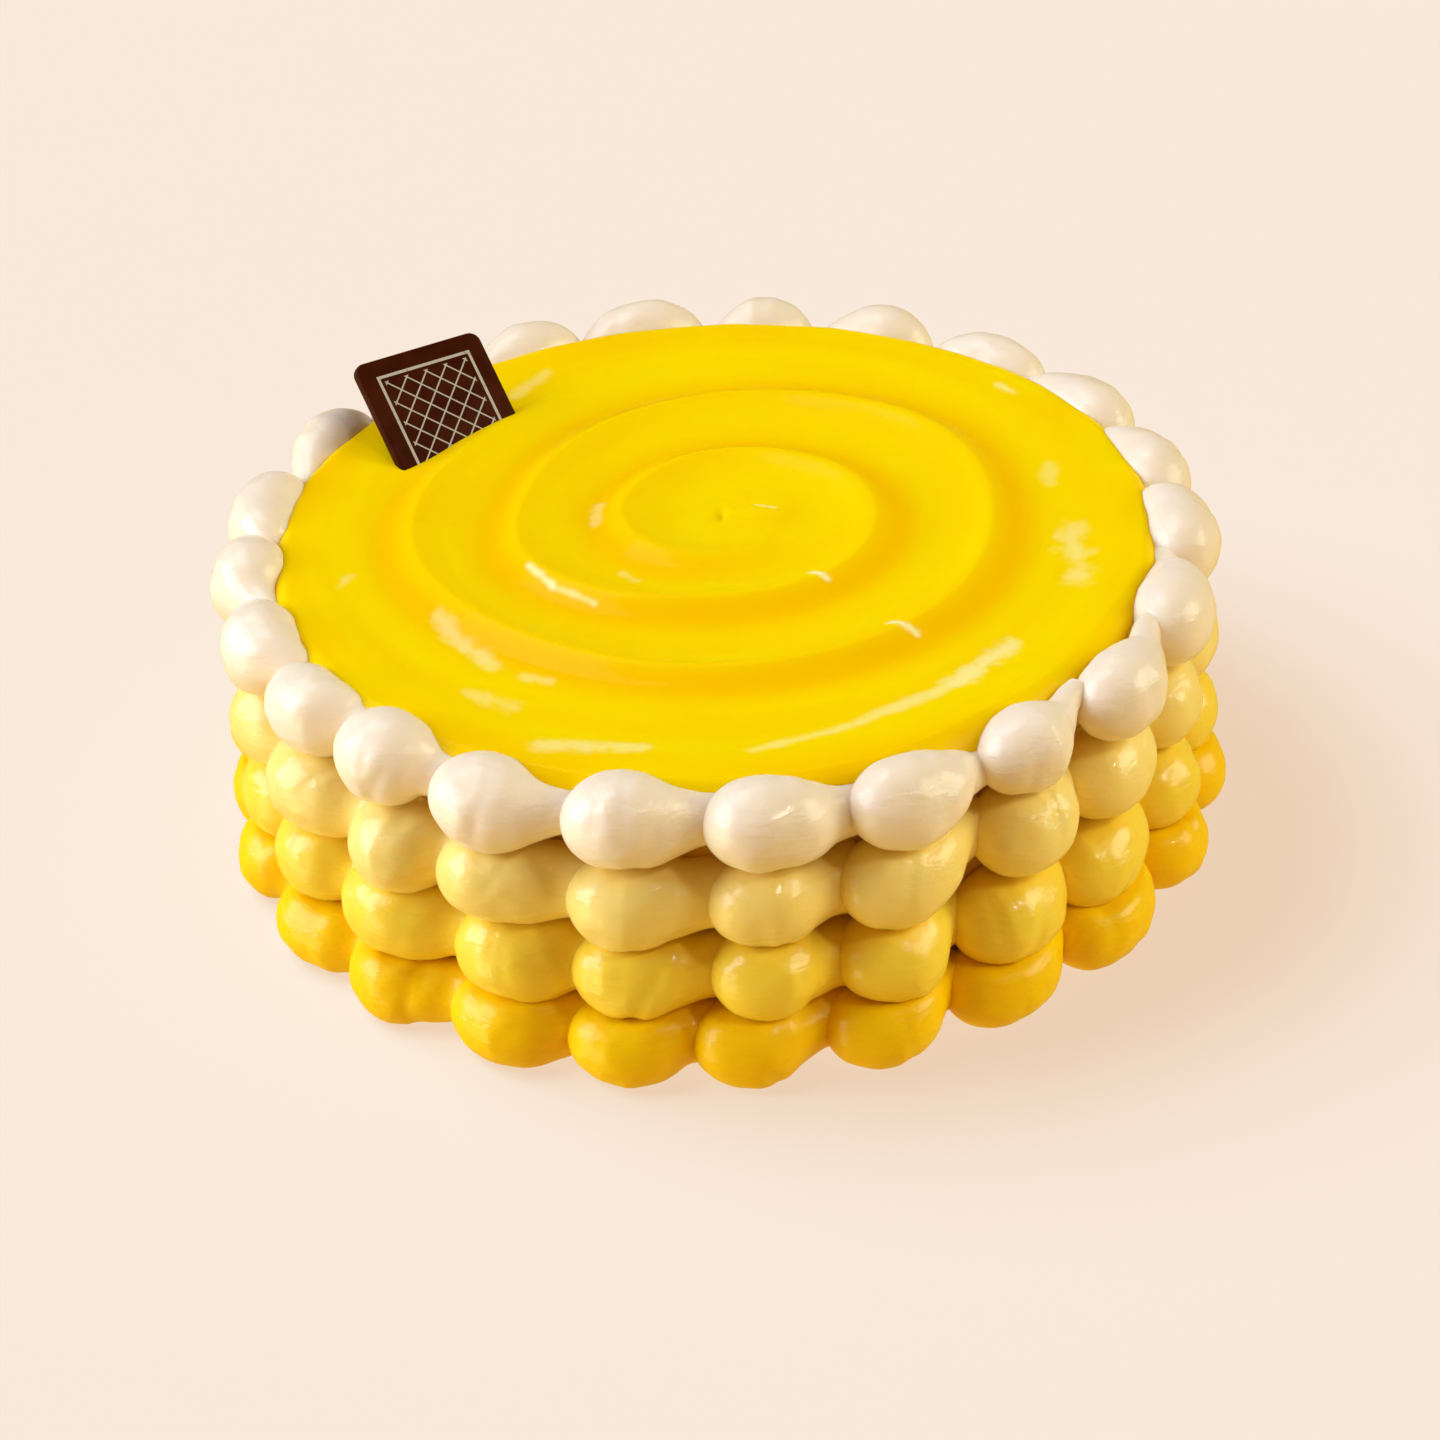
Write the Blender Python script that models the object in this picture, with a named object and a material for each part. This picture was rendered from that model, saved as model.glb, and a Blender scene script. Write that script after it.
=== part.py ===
"""Lemon cake with a piped cream wall, a swirled lemon glaze and a chocolate plaque.

Metres, +Z up. The origin is the middle of the flat base, on the surface that the cake stands on.
Angles count counter-clockwise from +X, seen from above, so the front of the cake is at -90 degrees.
"""

import math
import random
from collections import namedtuple

import bpy
from mathutils import Matrix, Vector

MILLIMETRE = 0.001

# Main sizes of the cake
CAKE_RADIUS = 0.1040
CAKE_TOP = 0.0712
CAKE_EDGE = 0.0050
GLAZE_TOP = 0.0765
GLAZE_RADIUS = 0.1095
GLAZE_SHOULDER = 0.0065
BACK_BULGE = 0.0040
BACK_SHOULDER = 0.0050
BACK_STARTS = -0.2
BACK_FULL = 0.8
GLAZE_SKIRT_LOW = 0.0610
GLAZE_HEM = 0.0030
GAP = 0.0003
SHOULDER_CLEARANCE = 0.0010

# The swirl that the palette knife left in the glaze
SWIRL_CENTRE = Vector((0.0025, 0.0110))
SWIRL_PITCH = 0.0250
SWIRL_DEPTH = 0.0010
SWIRL_TURN_DEG = 12.0
SWIRL_STARTS = 0.0075
SWIRL_FULL = 0.0225
SWIRL_FADE_START = 0.078
SWIRL_FADE_END = 0.099
NUB_RADIUS = 0.0050
NUB_HEIGHT = 0.0013

# The piped wall
PIPING_RADIUS = 0.1130
HEAD_LENGTH = 0.0144
TAIL_OVERLAP = 0.0015
TAIL_TIP = 0.0055
TAIL_CLEARANCE = 0.0004
BACK_SHIFT = 0.0015
RADIUS_SPREAD = 0.0005
HEAD_SPREAD = 0.03
TAIL_SPREAD = 0.10
RANDOM_SEED = 22

# Each teardrop's angle at its thickest, in degrees, and how far it lies above its tier's middle, in mm
BOTTOM_HEADS = (
    (-149.0, 0.0), (-133.5, 0.0), (-118.0, 0.2), (-103.0, 0.0), (-88.5, 0.0), (-73.0, 0.2), (-57.5, 0.0),
    (-40.7, 0.0), (-22.6, 0.2), (-6.0, 0.0), (10.5, 0.0), (27.0, 0.2), (45.0, 0.0), (63.0, 0.0), (81.0, 0.2),
    (98.5, 0.0), (115.5, 0.0), (132.0, 0.2), (148.5, 0.0), (164.5, 0.0), (180.0, 0.2), (195.5, 0.0))
LOW_HEADS = (
    (-150.0, 0.7), (-135.5, 0.2), (-117.5, 0.7), (-102.5, -0.3), (-86.0, 0.4), (-71.0, -1.5), (-55.5, -2.0),
    (-39.5, -1.8), (-21.5, -1.0), (-5.5, 0.0), (11.0, 0.4), (27.5, 0.2), (45.5, 0.7), (63.5, 0.1), (81.5, 0.5),
    (98.5, -0.2), (115.0, 0.4), (131.5, 0.8), (148.0, 0.1), (164.0, 0.6), (179.5, 0.2), (194.5, 0.5))
HIGH_HEADS = (
    (-150.5, 0.2), (-133.0, -1.1), (-119.2, 1.4), (-102.5, -1.1), (-86.0, -0.2), (-70.5, -0.8), (-52.5, 1.2),
    (-37.0, -0.2), (-19.5, 0.3), (-4.5, -0.4), (11.5, 0.5), (28.5, -0.2), (46.5, 0.4), (64.0, 0.9), (81.0, 0.1),
    (98.0, -0.5), (114.5, 0.3), (130.5, -0.3), (147.0, 0.6), (163.0, 0.0), (179.0, -0.5), (194.0, 0.4))
TOP_HEADS = (
    (-149.0, 0.5), (-134.0, 1.0), (-119.0, -0.7), (-102.5, 0.1), (-86.0, -0.9), (-69.0, -1.6), (-51.5, -0.2),
    (-36.5, 1.0), (-18.5, 0.8), (-1.0, 0.5), (15.5, 0.3), (31.5, 0.8), (48.5, 0.5), (66.0, 0.9), (82.5, 0.6),
    (97.0, 0.9), (113.5, 0.7), (130.0, 0.4), (146.5, 0.8), (164.0, 0.5), (180.0, 0.9), (195.5, 0.6))

# Each tier: the height and radius of its middle, the thickness of its heads and tails, and how far the
# tails draw back to the cake
Tier = namedtuple("Tier", "name height radius head tail inset heads colour")
TIERS = (
    Tier("piped_tier_bottom", 0.0085, 0.1162, 0.0121, 0.0082, 0.0022, BOTTOM_HEADS, (0.89, 0.52, 0.004)),
    Tier("piped_tier_low", 0.0262, 0.1134, 0.0121, 0.0080, 0.0022, LOW_HEADS, (0.88, 0.62, 0.100)),
    Tier("piped_tier_high", 0.0470, 0.1134, 0.0121, 0.0080, 0.0022, HIGH_HEADS, (0.88, 0.70, 0.260)),
    Tier("piped_tier_top", 0.0690, 0.1138, 0.0116, 0.0064, 0.0006, TOP_HEADS, (0.90, 0.84, 0.740)),
)
TOP_TIER = len(TIERS) - 1

# The corners of a section are counted from its eye. That is its middle, but in the top tier it lies
# above the middle, by shares of the thickness, so that the corners wrap over the rim of the glaze.
TOP_EYE_IN = 0.17
TOP_EYE_UP = 0.52
EYE_CLEARANCE = 0.0010

# The chocolate plaque, which leans back with its lower edge sunk in the cake
PLAQUE_SIDE = 0.0380
PLAQUE_THICKNESS = 0.0030
PLAQUE_CORNER = 0.0030
PLAQUE_BEVEL = 0.0005
PLAQUE_TOP_MIDDLE = Vector((-0.0757, 0.0731, 0.0946))
PLAQUE_HEADING_DEG = 38.0
PLAQUE_LEAN_DEG = 48.8
PLAQUE_ROLL_DEG = -5.7

# How finely the shapes are divided. A section's corners are at these turns about its eye: 0 faces
# outwards and 90 faces up.
CAKE_SEGMENTS = 48
SWIRL_RINGS = 14
RIM_STEPS = 3
EDGE_STEPS = 2
CORNER_STEPS = 3
HEAD_STATIONS = 3
TAIL_STATIONS = 2
SECTION_TURNS = (-140, -100, -60, -20, 20, 60, 100, 140)
TOP_SECTION_TURNS = (-94, -75, -50, -25, 5, 45, 95, 158, 190, 228)


def remove_everything():
    for item in list(bpy.data.objects):
        bpy.data.objects.remove(item, do_unlink=True)


def make_material(name, colour, roughness, metallic=0.0):
    material = bpy.data.materials.new(name)
    material.use_nodes = True
    shader = material.node_tree.nodes["Principled BSDF"]
    shader.inputs["Base Color"].default_value = (*colour, 1.0)
    shader.inputs["Roughness"].default_value = roughness
    shader.inputs["Metallic"].default_value = metallic
    return material


def make_object(name, points, faces, material=None):
    mesh = bpy.data.meshes.new(name)
    mesh.from_pydata(points, [], faces)
    mesh.shade_smooth()
    mesh.set_sharp_from_angle(angle=math.radians(40.0))
    if material is not None:
        mesh.materials.append(material)
    item = bpy.data.objects.new(name, mesh)
    bpy.context.scene.collection.objects.link(item)
    return item


def mark_as_cutter(item):
    item.hide_render = True
    item.display_type = "WIRE"


def apply_modifiers(item):
    graph = bpy.context.evaluated_depsgraph_get()
    finished = bpy.data.meshes.new_from_object(item.evaluated_get(graph))
    item.modifiers.clear()
    item.data = finished


def boolean(item, operation, other):
    step = item.modifiers.new(operation.lower(), "BOOLEAN")
    step.operation = operation
    step.solver = "EXACT"
    step.object = other
    apply_modifiers(item)


def union_of(pieces):
    """Join the pieces into one body and remove what was joined."""
    first = pieces[0]
    others = bpy.data.collections.new(first.name + "_others")
    for piece in pieces[1:]:
        others.objects.link(piece)
    step = first.modifiers.new("union", "BOOLEAN")
    step.operation = "UNION"
    step.solver = "EXACT"
    step.operand_type = "COLLECTION"
    step.collection = others
    apply_modifiers(first)
    for piece in pieces[1:]:
        bpy.data.objects.remove(piece, do_unlink=True)
    bpy.data.collections.remove(others)
    return first


def arc(centre_radius, centre_height, size, start_deg, end_deg, steps):
    """Points (radius, height) along a round edge."""
    points = []
    for step in range(steps + 1):
        angle = math.radians(start_deg + (end_deg - start_deg) * step / steps)
        points.append((centre_radius + size * math.cos(angle), centre_height + size * math.sin(angle)))
    return points


def turned_solid(name, profile, segments, material=None):
    """Turn a profile that starts and ends on the axis, from bottom to top."""
    points = [(0.0, 0.0, profile[0][1])]
    for radius, height in profile[1:-1]:
        for segment in range(segments):
            angle = 2.0 * math.pi * segment / segments
            points.append((radius * math.cos(angle), radius * math.sin(angle), height))
    points.append((0.0, 0.0, profile[-1][1]))
    last = len(points) - 1
    rings = len(profile) - 2
    faces = []
    for segment in range(segments):
        after = (segment + 1) % segments
        faces.append((0, 1 + after, 1 + segment))
        for ring in range(rings - 1):
            low = 1 + ring * segments
            high = low + segments
            faces.append((low + segment, low + after, high + after, high + segment))
        top = 1 + (rings - 1) * segments
        faces.append((top + segment, top + after, last))
    return make_object(name, points, faces, material)


def smooth_step(low, high, value):
    amount = min(max((value - low) / (high - low), 0.0), 1.0)
    return amount * amount * (3.0 - 2.0 * amount)


def swirl_height(x, y):
    """Height of the knife's spiral ridge above the level of the glaze."""
    across = x - SWIRL_CENTRE.x
    along = y - SWIRL_CENTRE.y
    distance = math.hypot(across, along)
    turned = math.atan2(along, across) / (2.0 * math.pi)
    phase = distance / SWIRL_PITCH + turned - SWIRL_TURN_DEG / 360.0
    wave = math.cos(2.0 * math.pi * phase)
    start = smooth_step(SWIRL_STARTS, SWIRL_FULL, distance)
    fade = 1.0 - smooth_step(SWIRL_FADE_START, SWIRL_FADE_END, math.hypot(x, y))
    nub = NUB_HEIGHT * math.exp(-(distance / NUB_RADIUS) ** 2)
    return SWIRL_DEPTH * wave * start * fade + nub


def back_share(angle):
    """0 round the front and the sides of the cake, rising to 1 at its back."""
    return smooth_step(BACK_STARTS, BACK_FULL, math.sin(angle))


def glaze_rim(angle):
    """Radius of the glaze and of its rounded rim, which bulges over the piping at the back."""
    share = back_share(angle)
    return GLAZE_RADIUS + BACK_BULGE * share, GLAZE_SHOULDER + (BACK_SHOULDER - GLAZE_SHOULDER) * share


def rim_profile(angle):
    """The rim of the glaze at an angle, from the edge of its face down to its hem."""
    radius, shoulder = glaze_rim(angle)
    rounded = arc(radius - shoulder, GLAZE_TOP - shoulder, shoulder, 90.0, 0.0, RIM_STEPS)
    return rounded + [(CAKE_RADIUS + GLAZE_HEM, GLAZE_SKIRT_LOW)]


def cake_body(material):
    edge = arc(CAKE_RADIUS - CAKE_EDGE, CAKE_TOP - CAKE_EDGE, CAKE_EDGE, 0.0, 90.0, EDGE_STEPS)
    profile = [(0.0, 0.0), (CAKE_RADIUS, 0.0)] + edge + [(0.0, CAKE_TOP)]
    return turned_solid("cake_body", profile, CAKE_SEGMENTS, material)


def glaze_shell(material):
    """The glaze: a swirled face, a rounded rim and a hem, hollow over the cake."""
    angles = [2.0 * math.pi * segment / CAKE_SEGMENTS for segment in range(CAKE_SEGMENTS)]
    rims = [rim_profile(angle) for angle in angles]
    points = [(SWIRL_CENTRE.x, SWIRL_CENTRE.y, GLAZE_TOP + swirl_height(*SWIRL_CENTRE))]
    for ring in range(1, SWIRL_RINGS + 1):
        share = ring / SWIRL_RINGS
        centre = SWIRL_CENTRE * (1.0 - share)
        for angle, rim in zip(angles, rims):
            x = centre.x + rim[0][0] * share * math.cos(angle)
            y = centre.y + rim[0][0] * share * math.sin(angle)
            points.append((x, y, GLAZE_TOP + swirl_height(x, y)))
    for step in range(1, len(rims[0])):
        for angle, rim in zip(angles, rims):
            points.append((rim[step][0] * math.cos(angle), rim[step][0] * math.sin(angle), rim[step][1]))
    hollow_edge = arc(CAKE_RADIUS - CAKE_EDGE, CAKE_TOP - CAKE_EDGE, CAKE_EDGE + GAP, 0.0, 90.0, EDGE_STEPS)
    for radius, height in [(CAKE_RADIUS + GAP, GLAZE_SKIRT_LOW)] + hollow_edge:
        for angle in angles:
            points.append((radius * math.cos(angle), radius * math.sin(angle), height))
    points.append((0.0, 0.0, CAKE_TOP + GAP))
    last = len(points) - 1
    rings = (last - 1) // CAKE_SEGMENTS
    faces = []
    for segment in range(CAKE_SEGMENTS):
        after = (segment + 1) % CAKE_SEGMENTS
        faces.append((0, 1 + segment, 1 + after))
        for ring in range(rings - 1):
            near = 1 + ring * CAKE_SEGMENTS
            far = near + CAKE_SEGMENTS
            faces.append((near + segment, far + segment, far + after, near + after))
        inner = 1 + (rings - 1) * CAKE_SEGMENTS
        faces.append((inner + segment, last, inner + after))
    return make_object("lemon_glaze", points, faces, material)


def dollop_thickness(distance, length, head, tail):
    """Radius of a teardrop at a distance from the tip of its head."""
    if distance < HEAD_LENGTH:
        back = (HEAD_LENGTH - distance) / HEAD_LENGTH
        return head * math.sqrt(max(1.0 - back * back, 0.0))
    share = min((distance - HEAD_LENGTH) / (length - HEAD_LENGTH), 1.0)
    return tail + (head - tail) * 0.5 * (1.0 + math.cos(math.pi * share))


def dollop_distances(length):
    """Distances of the sections of a teardrop from the tip of its head."""
    distances = []
    for station in range(1, HEAD_STATIONS + 1):
        angle = 0.5 * math.pi * station / HEAD_STATIONS
        distances.append(HEAD_LENGTH * (1.0 - math.cos(angle)))
    for station in range(1, TAIL_STATIONS + 1):
        distances.append(HEAD_LENGTH + (length - HEAD_LENGTH) * station / TAIL_STATIONS)
    return distances


def tier_height(index, angle):
    """Height of a tier's middle at an angle, easing from one teardrop's height to the next."""
    heads = TIERS[index].heads
    turned = (math.degrees(angle) - heads[0][0]) % 360.0 + heads[0][0]
    lift = heads[0][1]
    for (here, here_lift), (there, there_lift) in zip(heads, heads[1:] + ((heads[0][0] + 360.0, lift),)):
        if here <= turned <= there:
            lift = here_lift + (there_lift - here_lift) * smooth_step(here, there, turned)
            break
    return TIERS[index].height + MILLIMETRE * lift


def tier_limits(index, angle):
    """Lowest and highest level that a tier may fill, between the tiers below and above it."""
    middle = tier_height(index, angle)
    low = 0.0
    high = GLAZE_TOP + 2.0 * TIERS[index].head
    if index > 0:
        low = 0.5 * (tier_height(index - 1, angle) + middle + GAP)
    if index < TOP_TIER:
        high = 0.5 * (middle + tier_height(index + 1, angle) - GAP)
    return low, high


def wall_radius(index, angle, drawn):
    """Radius of what a tier is piped against: the glaze for the top one, the cake for the others."""
    wall = glaze_rim(angle)[0] if index == TOP_TIER else CAKE_RADIUS
    return wall + GAP + TAIL_CLEARANCE * drawn


def section_eye(index, angle, drawn, out, up, thickness):
    """The point that a section's corners are counted from, clear of the wall behind it."""
    if index < TOP_TIER:
        return out, up
    nearest = wall_radius(index, angle, drawn) + EYE_CLEARANCE
    return max(out - TOP_EYE_IN * thickness, nearest), up + TOP_EYE_UP * thickness


def section_reach(across, above, thickness, turn):
    """Distance to a section's round outline from a point across from and above its middle."""
    forward = across * math.cos(turn) + above * math.sin(turn)
    return math.sqrt(thickness ** 2 - across ** 2 - above ** 2 + forward ** 2) - forward


def distance_to_rim(out, up, turn, angle):
    """Distance from a point outside the glaze to its rounded rim, or None where the way misses it."""
    radius, shoulder = glaze_rim(angle)
    to_centre = (radius - shoulder - out, GLAZE_TOP - shoulder - up)
    forward = to_centre[0] * math.cos(turn) + to_centre[1] * math.sin(turn)
    aside = to_centre[0] * math.sin(turn) - to_centre[1] * math.cos(turn)
    clear = shoulder + SHOULDER_CLEARANCE
    if forward <= 0.0 or abs(aside) >= clear:
        return None
    return forward - math.sqrt(clear * clear - aside * aside)


def clear_reach(index, angle, out, up, turn, reach, drawn):
    """Shorten a section's reach so that it stays clear of the cake, the glaze and the other tiers."""
    low, high = tier_limits(index, angle)
    if math.sin(turn) < 0.0:
        reach = min(reach, (low - up) / math.sin(turn))
    if math.sin(turn) > 0.0:
        reach = min(reach, (high - up) / math.sin(turn))
    if math.cos(turn) >= 0.0:
        return reach
    to_wall = (wall_radius(index, angle, drawn) - out) / math.cos(turn)
    shoulder = glaze_rim(angle)[1]
    if index < TOP_TIER or up + to_wall * math.sin(turn) <= GLAZE_TOP - shoulder:
        return min(reach, to_wall)
    to_rim = distance_to_rim(out, up, turn, angle)
    return reach if to_rim is None else min(reach, to_rim)


def dollop(index, name, start_deg, length, radius, head, tail):
    """One piped teardrop: a round head whose tail is drawn out counter-clockwise."""
    turns = [math.radians(turn) for turn in (TOP_SECTION_TURNS if index == TOP_TIER else SECTION_TURNS)]

    def angle_at(distance):
        return math.radians(start_deg) + distance / PIPING_RADIUS

    def place(angle, out, up):
        return (out * math.cos(angle), out * math.sin(angle), up)

    start = angle_at(0.0)
    points = [place(start, radius, tier_height(index, start))]
    for distance in dollop_distances(length):
        angle = angle_at(distance)
        thickness = dollop_thickness(distance, length, head, tail)
        drawn = smooth_step(HEAD_LENGTH, length, distance)
        middle_out = radius - TIERS[index].inset * drawn
        middle_up = tier_height(index, angle)
        out, up = section_eye(index, angle, drawn, middle_out, middle_up, thickness)
        for turn in turns:
            reach = section_reach(out - middle_out, up - middle_up, thickness, turn)
            reach = clear_reach(index, angle, out, up, turn, reach, drawn)
            points.append(place(angle, out + reach * math.cos(turn), up + reach * math.sin(turn)))
    end = angle_at(length + TAIL_TIP)
    points.append(place(end, radius, tier_height(index, end)))
    last = len(points) - 1
    sides = len(turns)
    rings = (last - 1) // sides
    faces = []
    for side in range(sides):
        after = (side + 1) % sides
        faces.append((0, 1 + side, 1 + after))
        for ring in range(rings - 1):
            near = 1 + ring * sides
            far = near + sides
            faces.append((near + side, far + side, far + after, near + after))
        tip = 1 + (rings - 1) * sides
        faces.append((tip + side, last, tip + after))
    return make_object(name, points, faces)


def piped_tier(index):
    """One tier of teardrops, each head laid over the tail of the one before it."""
    tier = TIERS[index]
    chance = random.Random(RANDOM_SEED + index)
    first_deg = -math.degrees(HEAD_LENGTH / PIPING_RADIUS)
    starts = [angle_deg + first_deg for angle_deg, lift in tier.heads]
    pieces = []
    for number, start_deg in enumerate(starts):
        following = starts[(number + 1) % len(starts)]
        spacing = math.radians((following - start_deg) % 360.0) * PIPING_RADIUS
        at_back = back_share(math.radians(start_deg)) if index == TOP_TIER else 0.0
        pieces.append(dollop(
            index,
            f"{tier.name}_{number}",
            start_deg,
            spacing + TAIL_OVERLAP,
            tier.radius + BACK_SHIFT * at_back + RADIUS_SPREAD * chance.uniform(-1.0, 1.0),
            tier.head * (1.0 + HEAD_SPREAD * chance.uniform(-1.0, 1.0)),
            tier.tail * (1.0 + TAIL_SPREAD * chance.uniform(-1.0, 1.0)),
        ))
    ring = union_of(pieces)
    ring.name = tier.name
    ring.data.name = tier.name
    ring.data.materials.clear()
    ring.data.materials.append(make_material(tier.name + "_cream", tier.colour, 0.45))
    return ring


def rounded_square(side, corner):
    """Corner points of a square with round corners, counter-clockwise."""
    points = []
    for quarter in range(4):
        turn = math.radians(90.0 * quarter)
        middle = Vector((0.5 * side - corner, 0.5 * side - corner))
        for x, y in arc(middle.x, middle.y, corner, 0.0, 90.0, CORNER_STEPS):
            points.append((x * math.cos(turn) - y * math.sin(turn), x * math.sin(turn) + y * math.cos(turn)))
    return points


def plaque_slab(name, grown, material=None):
    """The plaque's slab in its own frame: its width along X, its height along Y, its face to +Z."""
    side = PLAQUE_SIDE + 2.0 * grown
    half = 0.5 * PLAQUE_THICKNESS + grown
    corner = PLAQUE_CORNER + grown
    outlines = (
        (side - 2.0 * PLAQUE_BEVEL, corner - PLAQUE_BEVEL, -half),
        (side, corner, -half + PLAQUE_BEVEL),
        (side, corner, half - PLAQUE_BEVEL),
        (side - 2.0 * PLAQUE_BEVEL, corner - PLAQUE_BEVEL, half),
    )
    points = []
    for width, rounding, level in outlines:
        points.extend((x, y, level) for x, y in rounded_square(width, rounding))
    count = len(points) // len(outlines)
    faces = [tuple(reversed(range(count)))]
    for ring in range(len(outlines) - 1):
        near = ring * count
        far = near + count
        for corner_number in range(count):
            after = (corner_number + 1) % count
            faces.append((near + corner_number, near + after, far + after, far + corner_number))
    top = (len(outlines) - 1) * count
    faces.append(tuple(range(top, top + count)))
    return make_object(name, points, faces, material)


def plaque_place():
    """Turn to its heading, lean back, roll in its own plane, and hang from the middle of its top edge."""
    heading = Matrix.Rotation(math.radians(PLAQUE_HEADING_DEG), 4, "Z")
    lean = Matrix.Rotation(math.radians(90.0 - PLAQUE_LEAN_DEG), 4, "X")
    roll = Matrix.Rotation(math.radians(PLAQUE_ROLL_DEG), 4, "Z")
    drop = Matrix.Translation((0.0, -0.5 * PLAQUE_SIDE, -0.5 * PLAQUE_THICKNESS))
    return Matrix.Translation(PLAQUE_TOP_MIDDLE) @ heading @ lean @ roll @ drop


def build_cake():
    remove_everything()
    body = cake_body(make_material("sponge_and_cream", (0.85, 0.66, 0.30), 0.80))
    glaze = glaze_shell(make_material("lemon_glaze", (0.95, 0.62, 0.0), 0.22))
    for index in range(len(TIERS)):
        piped_tier(index)
    plaque = plaque_slab("chocolate_plaque", 0.0, make_material("dark_chocolate", (0.045, 0.012, 0.006), 0.35))
    plaque.matrix_world = plaque_place()
    slot = plaque_slab("plaque_slot", GAP)
    slot.matrix_world = plaque_place()
    mark_as_cutter(slot)
    boolean(body, "DIFFERENCE", slot)
    boolean(glaze, "DIFFERENCE", slot)
    bpy.data.objects.remove(slot, do_unlink=True)


build_cake()
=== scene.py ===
"""Looks of the lemon cake: fine piped cream, a glossy swirled glaze and a printed chocolate plaque.

Metres, +Z up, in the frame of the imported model. Angles count counter-clockwise from +X, seen from
above, so the front of the cake is at -90 degrees.
"""

import math
import random
from collections import namedtuple

import bpy
import numpy as np
from mathutils import Matrix, Vector, noise

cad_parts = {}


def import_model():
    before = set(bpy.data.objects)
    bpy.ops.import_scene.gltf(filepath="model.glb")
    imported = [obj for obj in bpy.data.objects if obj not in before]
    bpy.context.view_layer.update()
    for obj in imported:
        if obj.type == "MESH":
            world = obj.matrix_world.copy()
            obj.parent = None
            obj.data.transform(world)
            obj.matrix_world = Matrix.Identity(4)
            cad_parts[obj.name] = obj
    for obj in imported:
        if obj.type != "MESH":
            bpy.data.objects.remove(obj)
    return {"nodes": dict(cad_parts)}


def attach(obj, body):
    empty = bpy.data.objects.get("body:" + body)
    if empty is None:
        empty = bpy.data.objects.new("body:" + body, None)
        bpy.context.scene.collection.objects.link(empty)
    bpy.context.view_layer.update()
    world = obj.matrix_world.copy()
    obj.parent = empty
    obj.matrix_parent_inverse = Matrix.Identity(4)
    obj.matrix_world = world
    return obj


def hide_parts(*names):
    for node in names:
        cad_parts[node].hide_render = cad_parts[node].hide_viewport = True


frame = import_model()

MILLIMETRE = 0.001
BODY = "root"

# The camera, fitted to the outlines of the cake and of the glaze's rim
CAMERA_PLACE = Vector((-0.0011, -0.90465, 0.62485))
CAMERA_PITCH_DEG = 33.7
CAMERA_ROLL_DEG = -2.95
CAMERA_LENS = 105.9
CAMERA_SENSOR = 36.0
CAMERA_REACH = 20.0

# The cake and its glaze: levels, radii and the hem over the cake's edge
CAKE_RADIUS = 0.1040
GLAZE_TOP = 0.0765
GLAZE_RADIUS = 0.1095
GLAZE_UNDERSIDE = 0.0715
HEM_LOW = 0.0610
HEM_HALF = 0.0030

# The glaze's shoulder, which slopes down wider at the right of the front
GLAZE_SHOULDER = 0.0034
SLOPE_SHOULDER = 0.0065
SLOPE_AT_DEG = -42.0
SLOPE_HALF_DEG = 22.0

# The back, where the glaze bulges over the piping and the top tier lies further out and lower, and the
# sines of the angles at which that starts and is full
BACK_STARTS = -0.35
BACK_FULL = 0.70
BACK_BULGE = 0.0040
BACK_SHOULDER = 0.0040
BACK_SHIFT = 0.0030
BACK_DROP = 0.0015

# The sides, from where on the top teardrops are narrower on their inner side, again as sines
SIDE_STARTS = -0.85
SIDE_FULL = -0.35
SIDE_SQUASH = 0.13

# How round the rim's profile is, from a straight slope at 1 to a quarter circle at 2, and what the back adds
RIM_ROUNDNESS = 1.35
BACK_ROUNDNESS = 0.65

# The knife's swirl. Its crest winds outwards clockwise: turns counted from where it starts, and the
# distance from its centre in millimetres.
SWIRL_CENTRE = Vector((0.0025, 0.0110))
SWIRL_START_DEG = 171.0
CREST = (
    (-0.50, 14.5), (-0.30, 19.2), (-0.10, 25.0), (0.10, 26.0), (0.28, 29.5), (0.47, 37.5), (0.62, 41.3),
    (0.76, 42.8), (0.85, 49.0), (0.93, 53.0), (1.00, 51.0), (1.12, 53.5), (1.27, 60.0), (1.40, 66.5),
    (1.50, 67.6), (1.60, 71.8), (1.75, 73.0), (1.85, 74.0), (1.95, 78.5), (2.03, 76.5), (2.20, 75.0))
CREST_RISES = (-0.50, -0.05)
CREST_FALLS = (1.98, 2.20)
CREST_ROUNDING = 0.0012
GROOVE_DEPTH = 0.0034
GROOVE_LEVEL = 0.30
OUTER_GROOVE_WIDTH = 0.0090
INNER_GROOVE_WIDTH = 0.0150
SWIRL_FADES = 0.088
SWIRL_ENDS = 0.101

# The little curl in the middle and the notch beside it
Bump = namedtuple("Bump", "x y width length height")
CURL = Bump(0.0105, 0.0105, 0.0080, 0.0045, 0.0014)
CURL_SHARPNESS = 1.3
NOTCH = Bump(0.0018, 0.0120, 0.0014, 0.0030, -0.0014)

# Gel gathered beside the crest, where its deeper colour is partly painted shade of the groove, and in places
# along the rim
POOL_AND_SHADE_AT = 0.0060
POOL_AND_SHADE_WIDTH = 0.0055
RIM_POOL_STARTS = 0.094
RIM_POOL_FULL = 0.107
RIM_POOL_LEVEL = 0.40

# Where the rim's gel is thick: the rim's steps at which that starts and is full, and the least share of it
THICK_STARTS = 1.0
THICK_FULL = 7.0
THICK_LEAST = 0.4

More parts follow.
